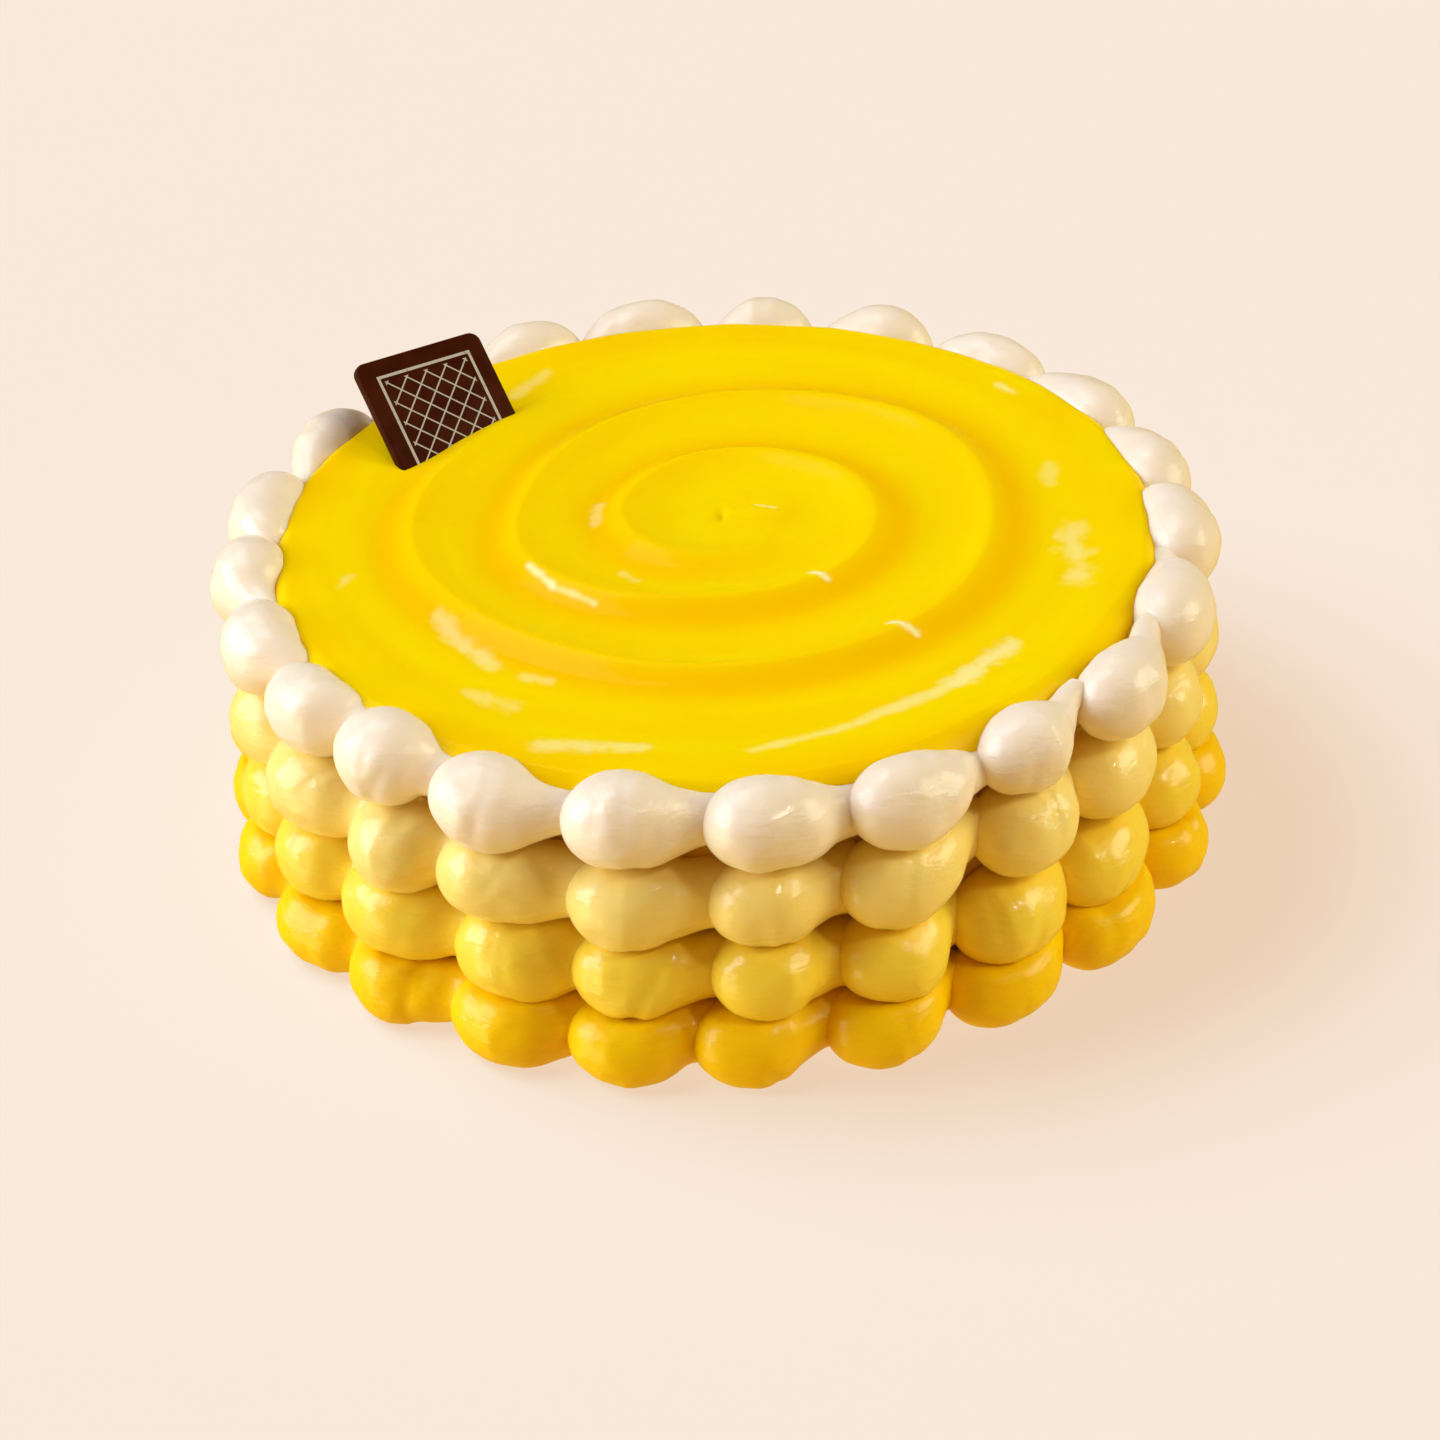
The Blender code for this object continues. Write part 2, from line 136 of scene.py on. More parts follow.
# Layers of smooth noise: how high its waves are, about how long they are, and where in the noise they lie
Wave = namedtuple("Wave", "height size seed")
FACE_WAVES = (Wave(0.00045, 0.035, 5), Wave(0.00012, 0.010, 8))
RIM_WAVES = (Wave(0.0005, 0.008, 2), Wave(0.0005, 0.030, 4))
RIM_POOL_WAVES = (Wave(0.70, 0.030, 21),)
STREAK_WAVES = (Wave(0.55, 0.0050, 12), Wave(0.35, 0.0018, 15))
CREAM_WAVES = (Wave(0.00090, 0.014, 0), Wave(0.00036, 0.005, 3))

# Pale streaks, partly cream showing through and partly painted reflections: both ends in mm, half width in
# mm, and strength
Streak = namedtuple("Streak", "x0 y0 x1 y1 half strength")
STREAKS_AND_GLINTS = (
    Streak(89, -5, 88.5, -26, 5.2, 0.36),
    Streak(86, 28, 85.5, 20, 2.8, 0.22),
    Streak(68, -56, 54.5, -71, 4.0, 0.60),
    Streak(54.5, -71, 31.5, -85, 2.8, 0.42),
    Streak(31.5, -85, 6, -95, 2.0, 0.34),
    Streak(-43, -89, -19, -91.5, 3.4, 0.46),
    Streak(-68.5, -30, -61, -44, 3.2, 0.42),
    Streak(-61, -44, -54.5, -52, 3.6, 0.46),
    Streak(-47, -58, -41, -61, 2.0, 0.28),
    Streak(-59, -64.5, -50, -70.5, 3.6, 0.28),
    Streak(-29, 19, -30, 10, 2.0, 0.26),
    Streak(-23, -14, -20, -18, 2.0, 0.26),
    Streak(-42, 89, -52, 77, 2.4, 0.26),
    Streak(77, 69, 80, 65, 2.0, 0.45),
    Streak(-91, -8, -93, -13, 2.4, 0.28),
    # The last five are painted glints
    Streak(-46.5, -12, -40, -21.5, 1.4, 0.90),
    Streak(-40, -21.5, -30, -29.5, 1.1, 0.60),
    Streak(23, -22, 27, -25, 1.3, 1.00),
    Streak(41, -46, 47, -51, 1.3, 0.95),
    Streak(11, 15, 15, 13, 1.1, 0.90),
)

# The piped wall: sizes that all teardrops share. Lengths are measured along the piping's radius.
PIPING_RADIUS = 0.1130
HEAD_LENGTH = 0.0144
TAIL_OVERLAP = 0.0015
PRESS_OVERLAP = 0.0004
PRESS_ROUNDING = 0.0010
BODY_TAPER = 0.10
NECK_ROUNDING = 0.0012
NECK_TUCK = 0.0025
NECK_TUCK_STARTS = 0.70
NECK_BURIED = 0.7
END_ROUNDING = 0.35
END_MARGIN = 0.3
CREAM_FOLD_DEG = 32.0

# Each teardrop's angle at its thickest, in degrees, and how far it lies above its tier's middle, in mm
BOTTOM_HEADS = (
    (-149.0, 0.0), (-133.5, 0.0), (-118.0, 0.2), (-103.0, 0.0), (-88.5, 0.0), (-73.0, 0.2), (-57.5, 0.0),
    (-40.7, 0.0), (-22.6, 0.2), (-6.0, 0.0), (10.5, 0.0), (27.0, 0.2), (45.0, 0.0), (63.0, 0.0), (81.0, 0.2),
    (98.5, 0.0), (115.5, 0.0), (132.0, 0.2), (148.5, 0.0), (164.5, 0.0), (180.0, 0.2), (195.5, 0.0))
LOW_HEADS = (
    (-150.0, 0.7), (-135.5, 0.2), (-117.5, 0.7), (-102.5, -0.3), (-86.0, 0.4), (-71.0, -1.5), (-55.5, -2.0),
    (-39.5, -1.8), (-21.5, -1.0), (-5.5, 0.0), (11.0, 0.4), (27.5, 0.2), (45.5, 0.7), (63.5, 0.1),
    (81.5, 0.5), (98.5, -0.2), (115.0, 0.4), (131.5, 0.8), (148.0, 0.1), (164.0, 0.6), (179.5, 0.2),
    (194.5, 0.5))
HIGH_HEADS = (
    (-150.5, 0.2), (-133.0, -1.1), (-119.2, 1.4), (-102.5, -1.1), (-86.0, -0.2), (-70.5, -0.8), (-52.5, 1.2),
    (-37.0, -0.2), (-19.5, 0.3), (-4.5, -0.4), (11.5, 0.5), (28.5, -0.2), (46.5, 0.4), (64.0, 0.9),
    (81.0, 0.1), (98.0, -0.5), (114.5, 0.3), (130.5, -0.3), (147.0, 0.6), (163.0, 0.0), (179.0, -0.5),
    (194.0, 0.4))
TOP_HEADS = (
    (-149.0, 0.5), (-134.0, 1.0), (-119.0, -0.7), (-102.5, 0.1), (-86.0, -0.9), (-69.0, -1.6), (-51.5, -0.2),
    (-35.8, 0.6), (-18.5, 0.8), (-1.0, 0.5), (15.5, 0.3), (31.5, 0.8), (48.5, 0.5), (66.0, 0.9), (82.5, 0.6),
    (97.0, 0.9), (113.5, 0.7), (130.0, 0.4), (146.5, 0.8), (164.0, 0.5), (180.0, 0.9), (195.5, 0.6))

# The tiers from the bottom up: the level and radius of their middle, the radius of a head and of a neck, and
# how far the neck's end lies further in
Tier = namedtuple("Tier", "node slot height radius head tail inset heads")
TIERS = (
    Tier("piped_tier_bottom", "deep_yellow_cream", 0.0085, 0.1162, 0.0121, 0.0082, 0.0022, BOTTOM_HEADS),
    Tier("piped_tier_low", "yellow_cream", 0.0262, 0.1134, 0.0121, 0.0080, 0.0022, LOW_HEADS),
    Tier("piped_tier_high", "pale_yellow_cream", 0.0470, 0.1134, 0.0121, 0.0080, 0.0022, HIGH_HEADS),
    Tier("piped_tier_top", "white_cream", 0.0690, 0.1138, 0.0116, 0.0064, 0.0006, TOP_HEADS),
)
TOP_TIER = len(TIERS) - 1

# How each teardrop is drawn out: the share of its length where its full body ends in a fold (0 for a
# plain taper), how blunt that end is, how much further it lies at the top than in the middle, the neck's
# radius and that of its end, and how far the neck's end rises and leans inwards, in mm
Form = namedtuple("Form", "body blunt slant neck tip lift inward")
FORMS = {
    (0, 0): Form(1.02, 3.4, 1.0, 8.6, 8.0, 0.0, 0.3),
    (0, 1): Form(0.74, 4.0, 0.5, 9.4, 8.8, 0.0, 0.0),
    (0, 2): Form(1.10, 5.0, 1.0, 9.0, 8.5, 0.0, 0.0),
    (0, 3): Form(1.04, 3.6, 1.5, 9.0, 8.4, 0.0, 0.3),
    (0, 4): Form(0.90, 2.8, 1.5, 9.0, 8.4, 0.0, 1.5),
    (0, 5): Form(1.04, 3.0, 2.5, 8.0, 7.2, 1.0, 1.2),
    (0, 6): Form(1.05, 3.2, 2.5, 7.8, 7.0, 0.6, 1.0),
    (0, 7): Form(1.00, 2.8, 4.0, 7.4, 6.6, 0.4, 1.0),
    (1, 0): Form(0.96, 3.0, 1.5, 8.6, 8.0, -0.4, 0.5),
    (1, 1): Form(1.02, 2.8, 1.0, 8.6, 8.0, -0.4, 0.3),
    (1, 2): Form(1.08, 4.6, 1.0, 9.4, 9.0, -0.6, 0.2),
    (1, 3): Form(0.90, 2.6, 3.5, 9.4, 8.8, -0.9, 0.7),
    (1, 4): Form(0.88, 2.6, 3.5, 9.0, 8.4, -1.1, 1.5),
    (1, 5): Form(0.96, 3.0, 2.5, 7.6, 6.8, 0.2, 2.0),
    (1, 6): Form(1.05, 4.5, 1.0, 7.4, 6.6, 0.2, 1.2),
    (1, 7): Form(0.97, 2.8, 6.0, 6.8, 6.0, 0.2, 1.0),
    (2, 0): Form(0.94, 2.8, 1.0, 8.4, 7.8, -0.4, 0.8),
    (2, 1): Form(0.97, 3.4, 0.5, 8.4, 7.8, -0.4, 1.0),
    (2, 2): Form(0.00, 0.0, 0.0, 9.2, 9.2, 0.0, 0.0),
    (2, 3): Form(0.88, 2.6, 3.0, 9.2, 8.6, -0.9, 0.7),
    (2, 4): Form(0.88, 2.8, 0.8, 9.0, 8.4, -1.2, 1.5),
    (2, 5): Form(0.96, 2.8, 6.0, 7.4, 6.6, 1.0, 1.6),
    (2, 6): Form(1.00, 2.8, 4.0, 7.4, 6.6, 0.2, 1.2),
    (2, 7): Form(0.95, 2.4, 6.0, 6.6, 6.0, 0.2, 1.0),
    (TOP_TIER, 0): Form(0.94, 2.6, 0.5, 6.0, 5.4, 0.0, 1.5),
    (TOP_TIER, 1): Form(0.86, 2.4, 2.0, 6.4, 5.8, -0.4, 1.6),
    (TOP_TIER, 2): Form(0.00, 0.0, 0.0, 5.2, 5.2, -0.7, 0.0),
    (TOP_TIER, 3): Form(0.00, 0.0, 0.0, 6.4, 6.4, -0.4, 0.5),
    (TOP_TIER, 4): Form(0.93, 2.4, 0.5, 7.2, 6.6, -1.5, 1.0),
    (TOP_TIER, 5): Form(0.88, 2.0, 5.0, 5.0, 4.4, -1.6, 0.5),
    (TOP_TIER, 6): Form(0.74, 2.0, 1.0, 7.8, 3.4, 3.4, 0.0),
    (TOP_TIER, 7): Form(0.76, 2.0, 1.0, 8.6, 4.0, 2.6, 0.0),
    (TOP_TIER, 8): Form(0.90, 2.2, 0.0, 6.6, 4.6, 1.0, 1.0),
}

# Heads that stand further out than their tier, in mm, and heads that are smaller than its others
FURTHER_OUT = {(TOP_TIER, 7): 2.0, (TOP_TIER, 8): 1.2}
SMALLER_HEADS = {(TOP_TIER, 0): 0.96, (TOP_TIER, 6): 0.93, (TOP_TIER, 7): 0.94, (2, 7): 0.95, (1, 7): 0.96}

# Creases across a body: how far it lies from the head's tip, its slant, width and depth in mm, and the
# turn round the body where it is deepest
Crease = namedtuple("Crease", "along slant width depth turn_deg")
CREASES = {
    (1, 6): (Crease(6.5, 0.5, 1.2, 0.45, 40.0), Crease(9.5, -1.0, 1.6, -0.35, 30.0)),
    (1, 7): (Crease(8.0, 1.0, 1.2, 0.45, 60.0), Crease(17.0, 6.0, 2.0, 0.70, -30.0)),
    (TOP_TIER, 3): (Crease(22.0, 6.0, 3.0, 0.9, -30.0),),
    (TOP_TIER, 1): (Crease(19.0, 4.0, 2.0, 0.7, -20.0),),
    (2, 3): (Crease(20.0, 5.0, 2.0, 0.7, -20.0),),
    (1, 3): (Crease(19.0, 5.0, 2.0, 0.8, -20.0),),
}

# What is drawn at random: the radius and head of every teardrop, its shallow creases, and the form of a
# hidden one, where the numbers are those of a Form and the neck's is added to its tier's
RANDOM_SEED = 22
RADIUS_SPREAD = 0.0005
HEAD_SPREAD = 0.03
SHALLOW_CREASES = 2
DRAWN_CREASE = Crease((7.0, 22.0), (-5.0, 5.0), (1.2, 3.0), (0.10, 0.45), (-50.0, 80.0))
DRAWN_NECK = (-0.7, 0.7)
DRAWN_BODY = (0.0, 0.88, 0.95, 1.02)
DRAWN_BLUNT = (2.2, 3.4)
DRAWN_SLANT = (0.5, 5.5)
DRAWN_LIFT = (-0.8, 0.6)
DRAWN_INWARD = (0.3, 1.6)
TIP_SHARE = 0.9
TOP_NECK_SLIMMER = 1.0

# The chocolate plaque
PLAQUE_SIDE = 0.0380
PLAQUE_THICKNESS = 0.0030
PLAQUE_CORNER = 0.0030
PLAQUE_ROUNDING = 0.0009
PLAQUE_EDGE_DEG = 40.0
PLAQUE_TOP_MIDDLE = Vector((-0.0757, 0.0731, 0.0946))
PLAQUE_HEADING_DEG = 38.0
PLAQUE_LEAN_DEG = 48.8
PLAQUE_ROLL_DEG = -5.7

# Its print: how far apart the lattice's lines are folded, how far they and the frame reach from the middle,
# the half widths of their lines, how soft the edges of these are, and the level above which they lie
LATTICE_FOLD = 0.0030
LATTICE_REACH = 0.0124
LATTICE_LINE = 0.00022
FRAME_REACH = 0.0138
FRAME_LINE = 0.00035
PRINT_SOFTNESS = 0.0001
PRINT_LEVEL = 0.0014

# The creams from the bottom up: their colour and that of their mottling, how far red, green and blue light
# spread in them, and their gloss
Cream = namedtuple("Cream", "colour mottled scatter gloss")
CREAMS = (
    Cream((0.93, 0.595, 0.0005), (0.92, 0.55, 0.0003), (1.0, 0.50, 0.03), 0.26),
    Cream((0.925, 0.685, 0.058), (0.915, 0.645, 0.038), (1.0, 0.55, 0.08), 0.46),
    Cream((0.925, 0.73, 0.228), (0.915, 0.69, 0.18), (1.0, 0.55, 0.15), 0.46),
    Cream((0.905, 0.775, 0.61), (0.895, 0.76, 0.57), (1.0, 0.55, 0.20), 0.42),
)

# The glaze's colours: spread and mottled, gathered beside the crest with painted shade, thick at the rim, and
# pale over the cream with painted reflections and glints
GEL_COLOUR = (0.93, 0.665, 0.0005)
GEL_MOTTLED = (0.92, 0.625, 0.0005)
GEL_POOLED_AND_SHADE = (0.93, 0.53, 0.0)
GEL_THICK = (0.95, 0.58, 0.0)
GEL_THIN_AND_GLINT = (0.96, 0.88, 0.42)
DRAG_LENGTH = 0.008

# The colours of the cake's side, the plaque, the floor and the backdrop
SIDE_COLOUR = (0.93, 0.62, 0.10)
SIDE_MOTTLED = (0.90, 0.52, 0.05)
CHOCOLATE_COLOUR = (0.040, 0.006, 0.0006)
CHOCOLATE_MOTTLED = (0.056, 0.009, 0.001)
PRINT_COLOUR = (0.50, 0.47, 0.41)
FLOOR_COLOUR = (0.092, 0.141, 0.172)
FLOOR_GRAIN = 0.995
FLOOR_GLOW = (0.805, 0.603, 0.449)
BACKDROP_COLOUR = (0.95, 0.82, 0.70)
BLACK = (0.0, 0.0, 0.0)

# The lights: where each stands, its size and power, and what it falls on
LIGHT_DISTANCE = 10.0
LIGHT_AIM = Vector((0.0, 0.0, 0.05))
Light = namedtuple("Light", "name azimuth_deg height_deg size power colour falls_on")
LIGHTS = (
    Light("left", 180.0, 24.0, 8.0, 1150.0, (0.885, 0.99, 1.20), "cake"),
    Light("right", -4.0, 26.0, 6.0, 680.0, (0.95, 0.98, 0.80), "cake"),
    Light("top", 138.0, 60.0, 4.5, 280.0, (0.90, 0.96, 1.05), "all"),
    Light("front", -90.0, 25.0, 5.0, 60.0, (1.0, 0.55, 0.15), "cake"),
    Light("glint", -38.0, 48.0, 0.9, 140.0, (1.0, 0.97, 0.88), "cake"),
    Light("bounce", -160.0, -16.0, 6.0, 330.0, (0.93, 0.93, 0.55), "cake"),
)

# Even light from high on the left, which falls on the floor alone and gives the cake its soft shadow
FLOOR_LIGHT_STRENGTH = 5.18
FLOOR_LIGHT_SPREAD_DEG = 45.0
FLOOR_LIGHT_AZIMUTH_DEG = 160.0
FLOOR_LIGHT_HEIGHT_DEG = 48.0

# The warm glow round the cake, from above and, reflected by a pale table, from below
GLOW_ABOVE = (0.10, 0.04, 0.005)
GLOW_BELOW = (0.74, 0.465, 0.10)
GLOW_BLEND = 0.4

# How far the floor and the backdrop reach, and how finely all visible shapes are divided
STAGE_RADIUS = 3.0
STAGE_SIDES = 64
DOME_RINGS = 16
HEAD_STATIONS = 18
TAIL_STATIONS = 36
SECTION_SIDES = 50
FACE_RINGS = 190
FACE_SEGMENTS = 420
RIM_STEPS = 10
CORNER_STEPS = 8
EDGE_STEPS = 6


# Small sums


def smooth_step(low, high, value):
    """0 below the low end and 1 above the high end, with a smooth rise between them."""
    amount = np.clip((value - low) / (high - low), 0.0, 1.0)
    return amount * amount * (3.0 - 2.0 * amount)


def soft_min(first, second, rounding):
    return 0.5 * (first + second - np.sqrt((first - second) ** 2 + rounding ** 2))


def soft_max(first, second, rounding):
    return -soft_min(-first, -second, rounding)


def waviness(points, size, seed):
    """Smooth noise between -1 and 1 at each point, whose waves are about as long as the size."""
    shift = Vector((seed * 17.3, seed * 5.1, seed * 11.7))
    flat = points.reshape(-1, 3)
    values = [noise.noise(Vector(point) / size + shift) for point in flat]
    return np.array(values).reshape(points.shape[:-1])


def waves(points, layers, seed=0):
    """Several layers of noise on top of each other at each point."""
    return sum(layer.height * waviness(points, layer.size, seed + layer.seed) for layer in layers)


# Mesh helpers


def make_mesh_object(name, points, faces):
    mesh = bpy.data.meshes.new(name)
    mesh.from_pydata([tuple(point) for point in points], [], faces)
    mesh.shade_smooth()
    piece = bpy.data.objects.new(name, mesh)
    bpy.context.scene.collection.objects.link(piece)
    return piece


def grid_faces(rings, sides, flip=False):
    """Quads between closed rings of points, each ring having the same number of sides."""
    faces = []
    for ring in range(rings - 1):
        near = ring * sides
        far = near + sides
        for side in range(sides):
            after = (side + 1) % sides
            face = (near + side, far + side, far + after, near + after)
            faces.append(tuple(reversed(face)) if flip else face)
    return faces


def capped_faces(rings, sides):
    """Faces of a closed body whose two end points, the first and the last, come after its rings of points."""
    faces = grid_faces(rings, sides)
    first = rings * sides
    last = first + 1
    far = (rings - 1) * sides
    for side in range(sides):
        after = (side + 1) % sides
        faces.append((first, side, after))
        faces.append((far + side, last, far + after))
    return faces


def apply_modifiers(piece):
    graph = bpy.context.evaluated_depsgraph_get()
    finished = bpy.data.meshes.new_from_object(piece.evaluated_get(graph))
    piece.modifiers.clear()
    piece.data = finished


def union_of(pieces):
    """Join the pieces into one body and remove what was joined."""
    first = pieces[0]
    others = bpy.data.collections.new(first.name + "_others")
    for piece in pieces[1:]:
        others.objects.link(piece)
    step = first.modifiers.new("union", "BOOLEAN")
    step.operation = "UNION"
    step.solver = "MANIFOLD"
    step.operand_type = "COLLECTION"
    step.collection = others
    apply_modifiers(first)
    for piece in pieces[1:]:
        bpy.data.objects.remove(piece, do_unlink=True)
    bpy.data.collections.remove(others)
    return first


# Material helpers


class Shading:
    """A material's node tree, with short ways to add the nodes that it uses."""

    def __init__(self, name):
        self.material = bpy.data.materials.new(name)
        self.material.use_nodes = True
        self.tree = self.material.node_tree
        self.shader = self.tree.nodes["Principled BSDF"]
        self.place = self.node("ShaderNodeTexCoord").outputs["Object"]

    def node(self, kind, **settings):
        made = self.tree.nodes.new(kind)
        for key, value in settings.items():
            setattr(made, key, value)
        return made

    def fill(self, socket, value):
        """Link a socket to another node's output, or set it to a number or colour."""
        if isinstance(value, bpy.types.NodeSocket):
            self.tree.links.new(value, socket)
        elif socket.type == "RGBA":
            socket.default_value = (*value, 1.0)
        else:
            socket.default_value = value

    def split_place(self):
        """The place on the piece as three coordinates, X, Y and Z."""
        made = self.node("ShaderNodeSeparateXYZ")
        self.fill(made.inputs[0], self.place)
        return made.outputs

    def scaled_place(self, scale):
        made = self.node("ShaderNodeMapping")
        self.fill(made.inputs["Vector"], self.place)
        made.inputs["Scale"].default_value = scale
        return made.outputs["Vector"]

    def noise(self, size, detail, distortion=0.0, place=None):
        """Noise from 0 to 1 whose waves are about as long as the size."""
        made = self.node("ShaderNodeTexNoise")
        self.fill(made.inputs["Vector"], place or self.place)
        made.inputs["Scale"].default_value = 1.0 / size
        made.inputs["Detail"].default_value = detail
        made.inputs["Distortion"].default_value = distortion
        return made.outputs["Fac"]

    def math(self, operation, first, second=0.0):
        made = self.node("ShaderNodeMath", operation=operation)
        self.fill(made.inputs[0], first)
        self.fill(made.inputs[1], second)
        return made.outputs[0]

    def ramp(self, value, low, high, low_out=0.0, high_out=1.0):
        made = self.node("ShaderNodeMapRange", interpolation_type="SMOOTHSTEP")
        self.fill(made.inputs["Value"], value)
        made.inputs["From Min"].default_value = low
        made.inputs["From Max"].default_value = high
        made.inputs["To Min"].default_value = low_out
        made.inputs["To Max"].default_value = high_out
        return made.outputs["Result"]

    def mix(self, amount, first, second):
        made = self.node("ShaderNodeMix", data_type="RGBA")
        self.fill(made.inputs["Factor"], amount)
        self.fill(made.inputs["A"], first)
        self.fill(made.inputs["B"], second)
        return made.outputs["Result"]

    def attribute(self, name):
        return self.node("ShaderNodeAttribute", attribute_name=name).outputs["Fac"]

    def bump(self, height, distance, strength, normal=None):
        made = self.node("ShaderNodeBump")
        self.fill(made.inputs["Height"], height)
        made.inputs["Distance"].default_value = distance
        made.inputs["Strength"].default_value = strength
        if normal is not None:
            self.fill(made.inputs["Normal"], normal)
        return made.outputs["Normal"]

    def set(self, **values):
        """Set the shader's sockets, named in lower case with underscores."""
        for key, value in values.items():
            name = key.replace("_", " ").title().replace("Ior", "IOR")
            self.fill(self.shader.inputs[name], value)


# Materials


def cream_material(name, cream):
    """Whipped cream: smooth and satin, slightly mottled, crumpled just enough to break up its glints."""
    look = Shading(name)
    mottle = look.noise(0.016, 3.0, distortion=0.6)
    look.set(base_color=look.mix(look.ramp(mottle, 0.35, 0.75), cream.colour, cream.mottled))
    look.set(roughness=look.ramp(look.noise(0.006, 3.0), 0.3, 0.7, 0.34, 0.44))
    drag = look.noise(0.0030, 3.0, distortion=0.5, place=look.scaled_place((0.45, 0.45, 1.5)))
    crumple = look.noise(0.0011, 2.0, distortion=0.4)
    soft = look.bump(drag, 0.00045, 0.65)
    look.set(normal=look.bump(crumple, 0.00012, 0.45, soft))
    look.set(coat_normal=look.bump(crumple, 0.00018, 0.60, soft))
    look.set(subsurface_weight=0.30, subsurface_radius=cream.scatter, subsurface_scale=0.003)
    look.set(specular_ior_level=0.55 * cream.gloss, coat_weight=cream.gloss, coat_roughness=0.04)
    return look.material


def round_the_swirl(look):
    """The place on the glaze as the distance from the swirl's centre and the way round it."""
    place = look.split_place()
    x = look.math("SUBTRACT", place["X"], SWIRL_CENTRE.x)
    y = look.math("SUBTRACT", place["Y"], SWIRL_CENTRE.y)
    squares = look.math("ADD", look.math("MULTIPLY", x, x), look.math("MULTIPLY", y, y))
    polar = look.node("ShaderNodeCombineXYZ")
    look.fill(polar.inputs["X"], look.math("SQRT", squares))
    look.fill(polar.inputs["Y"], look.math("MULTIPLY", look.math("ARCTAN2", y, x), DRAG_LENGTH))
    return polar.outputs["Vector"]


def glaze_material():
    """Lemon gel: wet and glossy, with faint drag lines round the swirl, cream where it lies thinly, painted
    reflections and glints, and painted groove shade.
    """
    look = Shading("lemon_glaze_look")
    polar = round_the_swirl(look)
    drag = look.noise(0.0035, 3.0, distortion=0.3, place=polar)
    broad = look.noise(0.011, 2.0, distortion=0.4, place=polar)
    spread = look.mix(look.ramp(broad, 0.35, 0.75), GEL_COLOUR, GEL_MOTTLED)
    # Gel gathered beside the crest, its colour partly painted shade of the groove
    face = look.mix(look.attribute("pooled_and_shade"), spread, GEL_POOLED_AND_SHADE)
    rim = look.mix(look.attribute("thick"), face, GEL_THICK)
    # Pale cream streaks, partly painted reflections and painted glints
    look.set(base_color=look.mix(look.attribute("thin_and_glint"), rim, GEL_THIN_AND_GLINT))
    look.set(roughness=look.ramp(broad, 0.3, 0.7, 0.26, 0.34))
    look.set(normal=look.bump(drag, 0.00012, 0.35))
    look.set(subsurface_weight=0.30, subsurface_radius=(1.0, 0.60, 0.05), subsurface_scale=0.003)
    look.set(coat_weight=0.045, coat_roughness=0.06, specular_ior_level=0.01)
    return look.material


def side_material():
    """The cake's side between the piped teardrops: a rough coat of yellow cream."""
    look = Shading("cake_side_look")
    mottle = look.noise(0.010, 4.0)
    look.set(base_color=look.mix(mottle, SIDE_COLOUR, SIDE_MOTTLED))
    look.set(roughness=look.ramp(mottle, 0.3, 0.7, 0.6, 0.8))
    look.set(normal=look.bump(look.noise(0.0012, 3.0), 0.0003, 0.5))
    return look.material


def chocolate_material():
    """Tempered dark chocolate with a plain pale lattice printed on its face."""
    look = Shading("dark_chocolate_look")
    bloom = look.noise(0.009, 4.0, distortion=0.4)
    dark = look.mix(look.ramp(bloom, 0.35, 0.7), CHOCOLATE_COLOUR, CHOCOLATE_MOTTLED)
    look.set(base_color=look.mix(print_mask(look), dark, PRINT_COLOUR))
    look.set(roughness=look.ramp(bloom, 0.3, 0.7, 0.30, 0.42))
    look.set(normal=look.bump(look.noise(0.003, 3.0), 0.00008, 0.4))
    look.set(specular_ior_level=0.04)
    return look.material


def below(look, value, limit):
    """1 where the value is below the limit and 0 above it, as softly as the print's edges."""
    return look.ramp(value, limit, limit + PRINT_SOFTNESS, 1.0, 0.0)


def print_mask(look):
    """1 on the printed lines of the plaque's face: a narrow square frame round a diagonal lattice."""
    place = look.split_place()
    reach = look.math("MAXIMUM", look.math("ABSOLUTE", place["X"]), look.math("ABSOLUTE", place["Y"]))
    lattice = 0.0
    for sign in (1.0, -1.0):
        across = look.math("ADD", place["X"], look.math("MULTIPLY", place["Y"], sign))
        fold = look.math("PINGPONG", across, LATTICE_FOLD)
        lattice = look.math("MAXIMUM", lattice, below(look, fold, LATTICE_LINE))
    off_frame = look.math("ABSOLUTE", look.math("SUBTRACT", reach, FRAME_REACH))
    inside = look.math("MULTIPLY", lattice, below(look, reach, LATTICE_REACH))
    lines = look.math("MAXIMUM", inside, below(look, off_frame, FRAME_LINE))
    on_face = look.ramp(place["Z"], PRINT_LEVEL, PRINT_LEVEL + 0.5 * PRINT_SOFTNESS)
    worn = look.ramp(look.noise(0.0012, 3.0), 0.25, 0.40, 0.55, 1.0)
    return look.math("MULTIPLY", look.math("MULTIPLY", lines, on_face), worn)


def floor_material():
    """A pale sheet that mostly glows by itself, so that its colour is even."""
    look = Shading("floor_look")
    grain = look.noise(0.05, 3.0)
    look.set(base_color=look.mix(grain, FLOOR_COLOUR, tuple(FLOOR_GRAIN * value for value in FLOOR_COLOUR)))
    look.set(roughness=0.9, specular_ior_level=0.0)
    look.set(emission_color=FLOOR_GLOW, emission_strength=1.0)
    return look.material


def backdrop_material():
    look = Shading("backdrop_look")
    look.set(base_color=BLACK, specular_ior_level=0.0)
    look.set(emission_color=BACKDROP_COLOUR, emission_strength=1.0)
    return look.material


# The cake's round form


def back_share(angle):
    """0 round the front of the cake, rising along its sides to 1 at its back."""
    return smooth_step(BACK_STARTS, BACK_FULL, np.sin(angle))


def side_share(angle):
    """0 at the middle of the front of the cake, rising to 1 at its sides and back."""
    return smooth_step(SIDE_STARTS, SIDE_FULL, np.sin(angle))


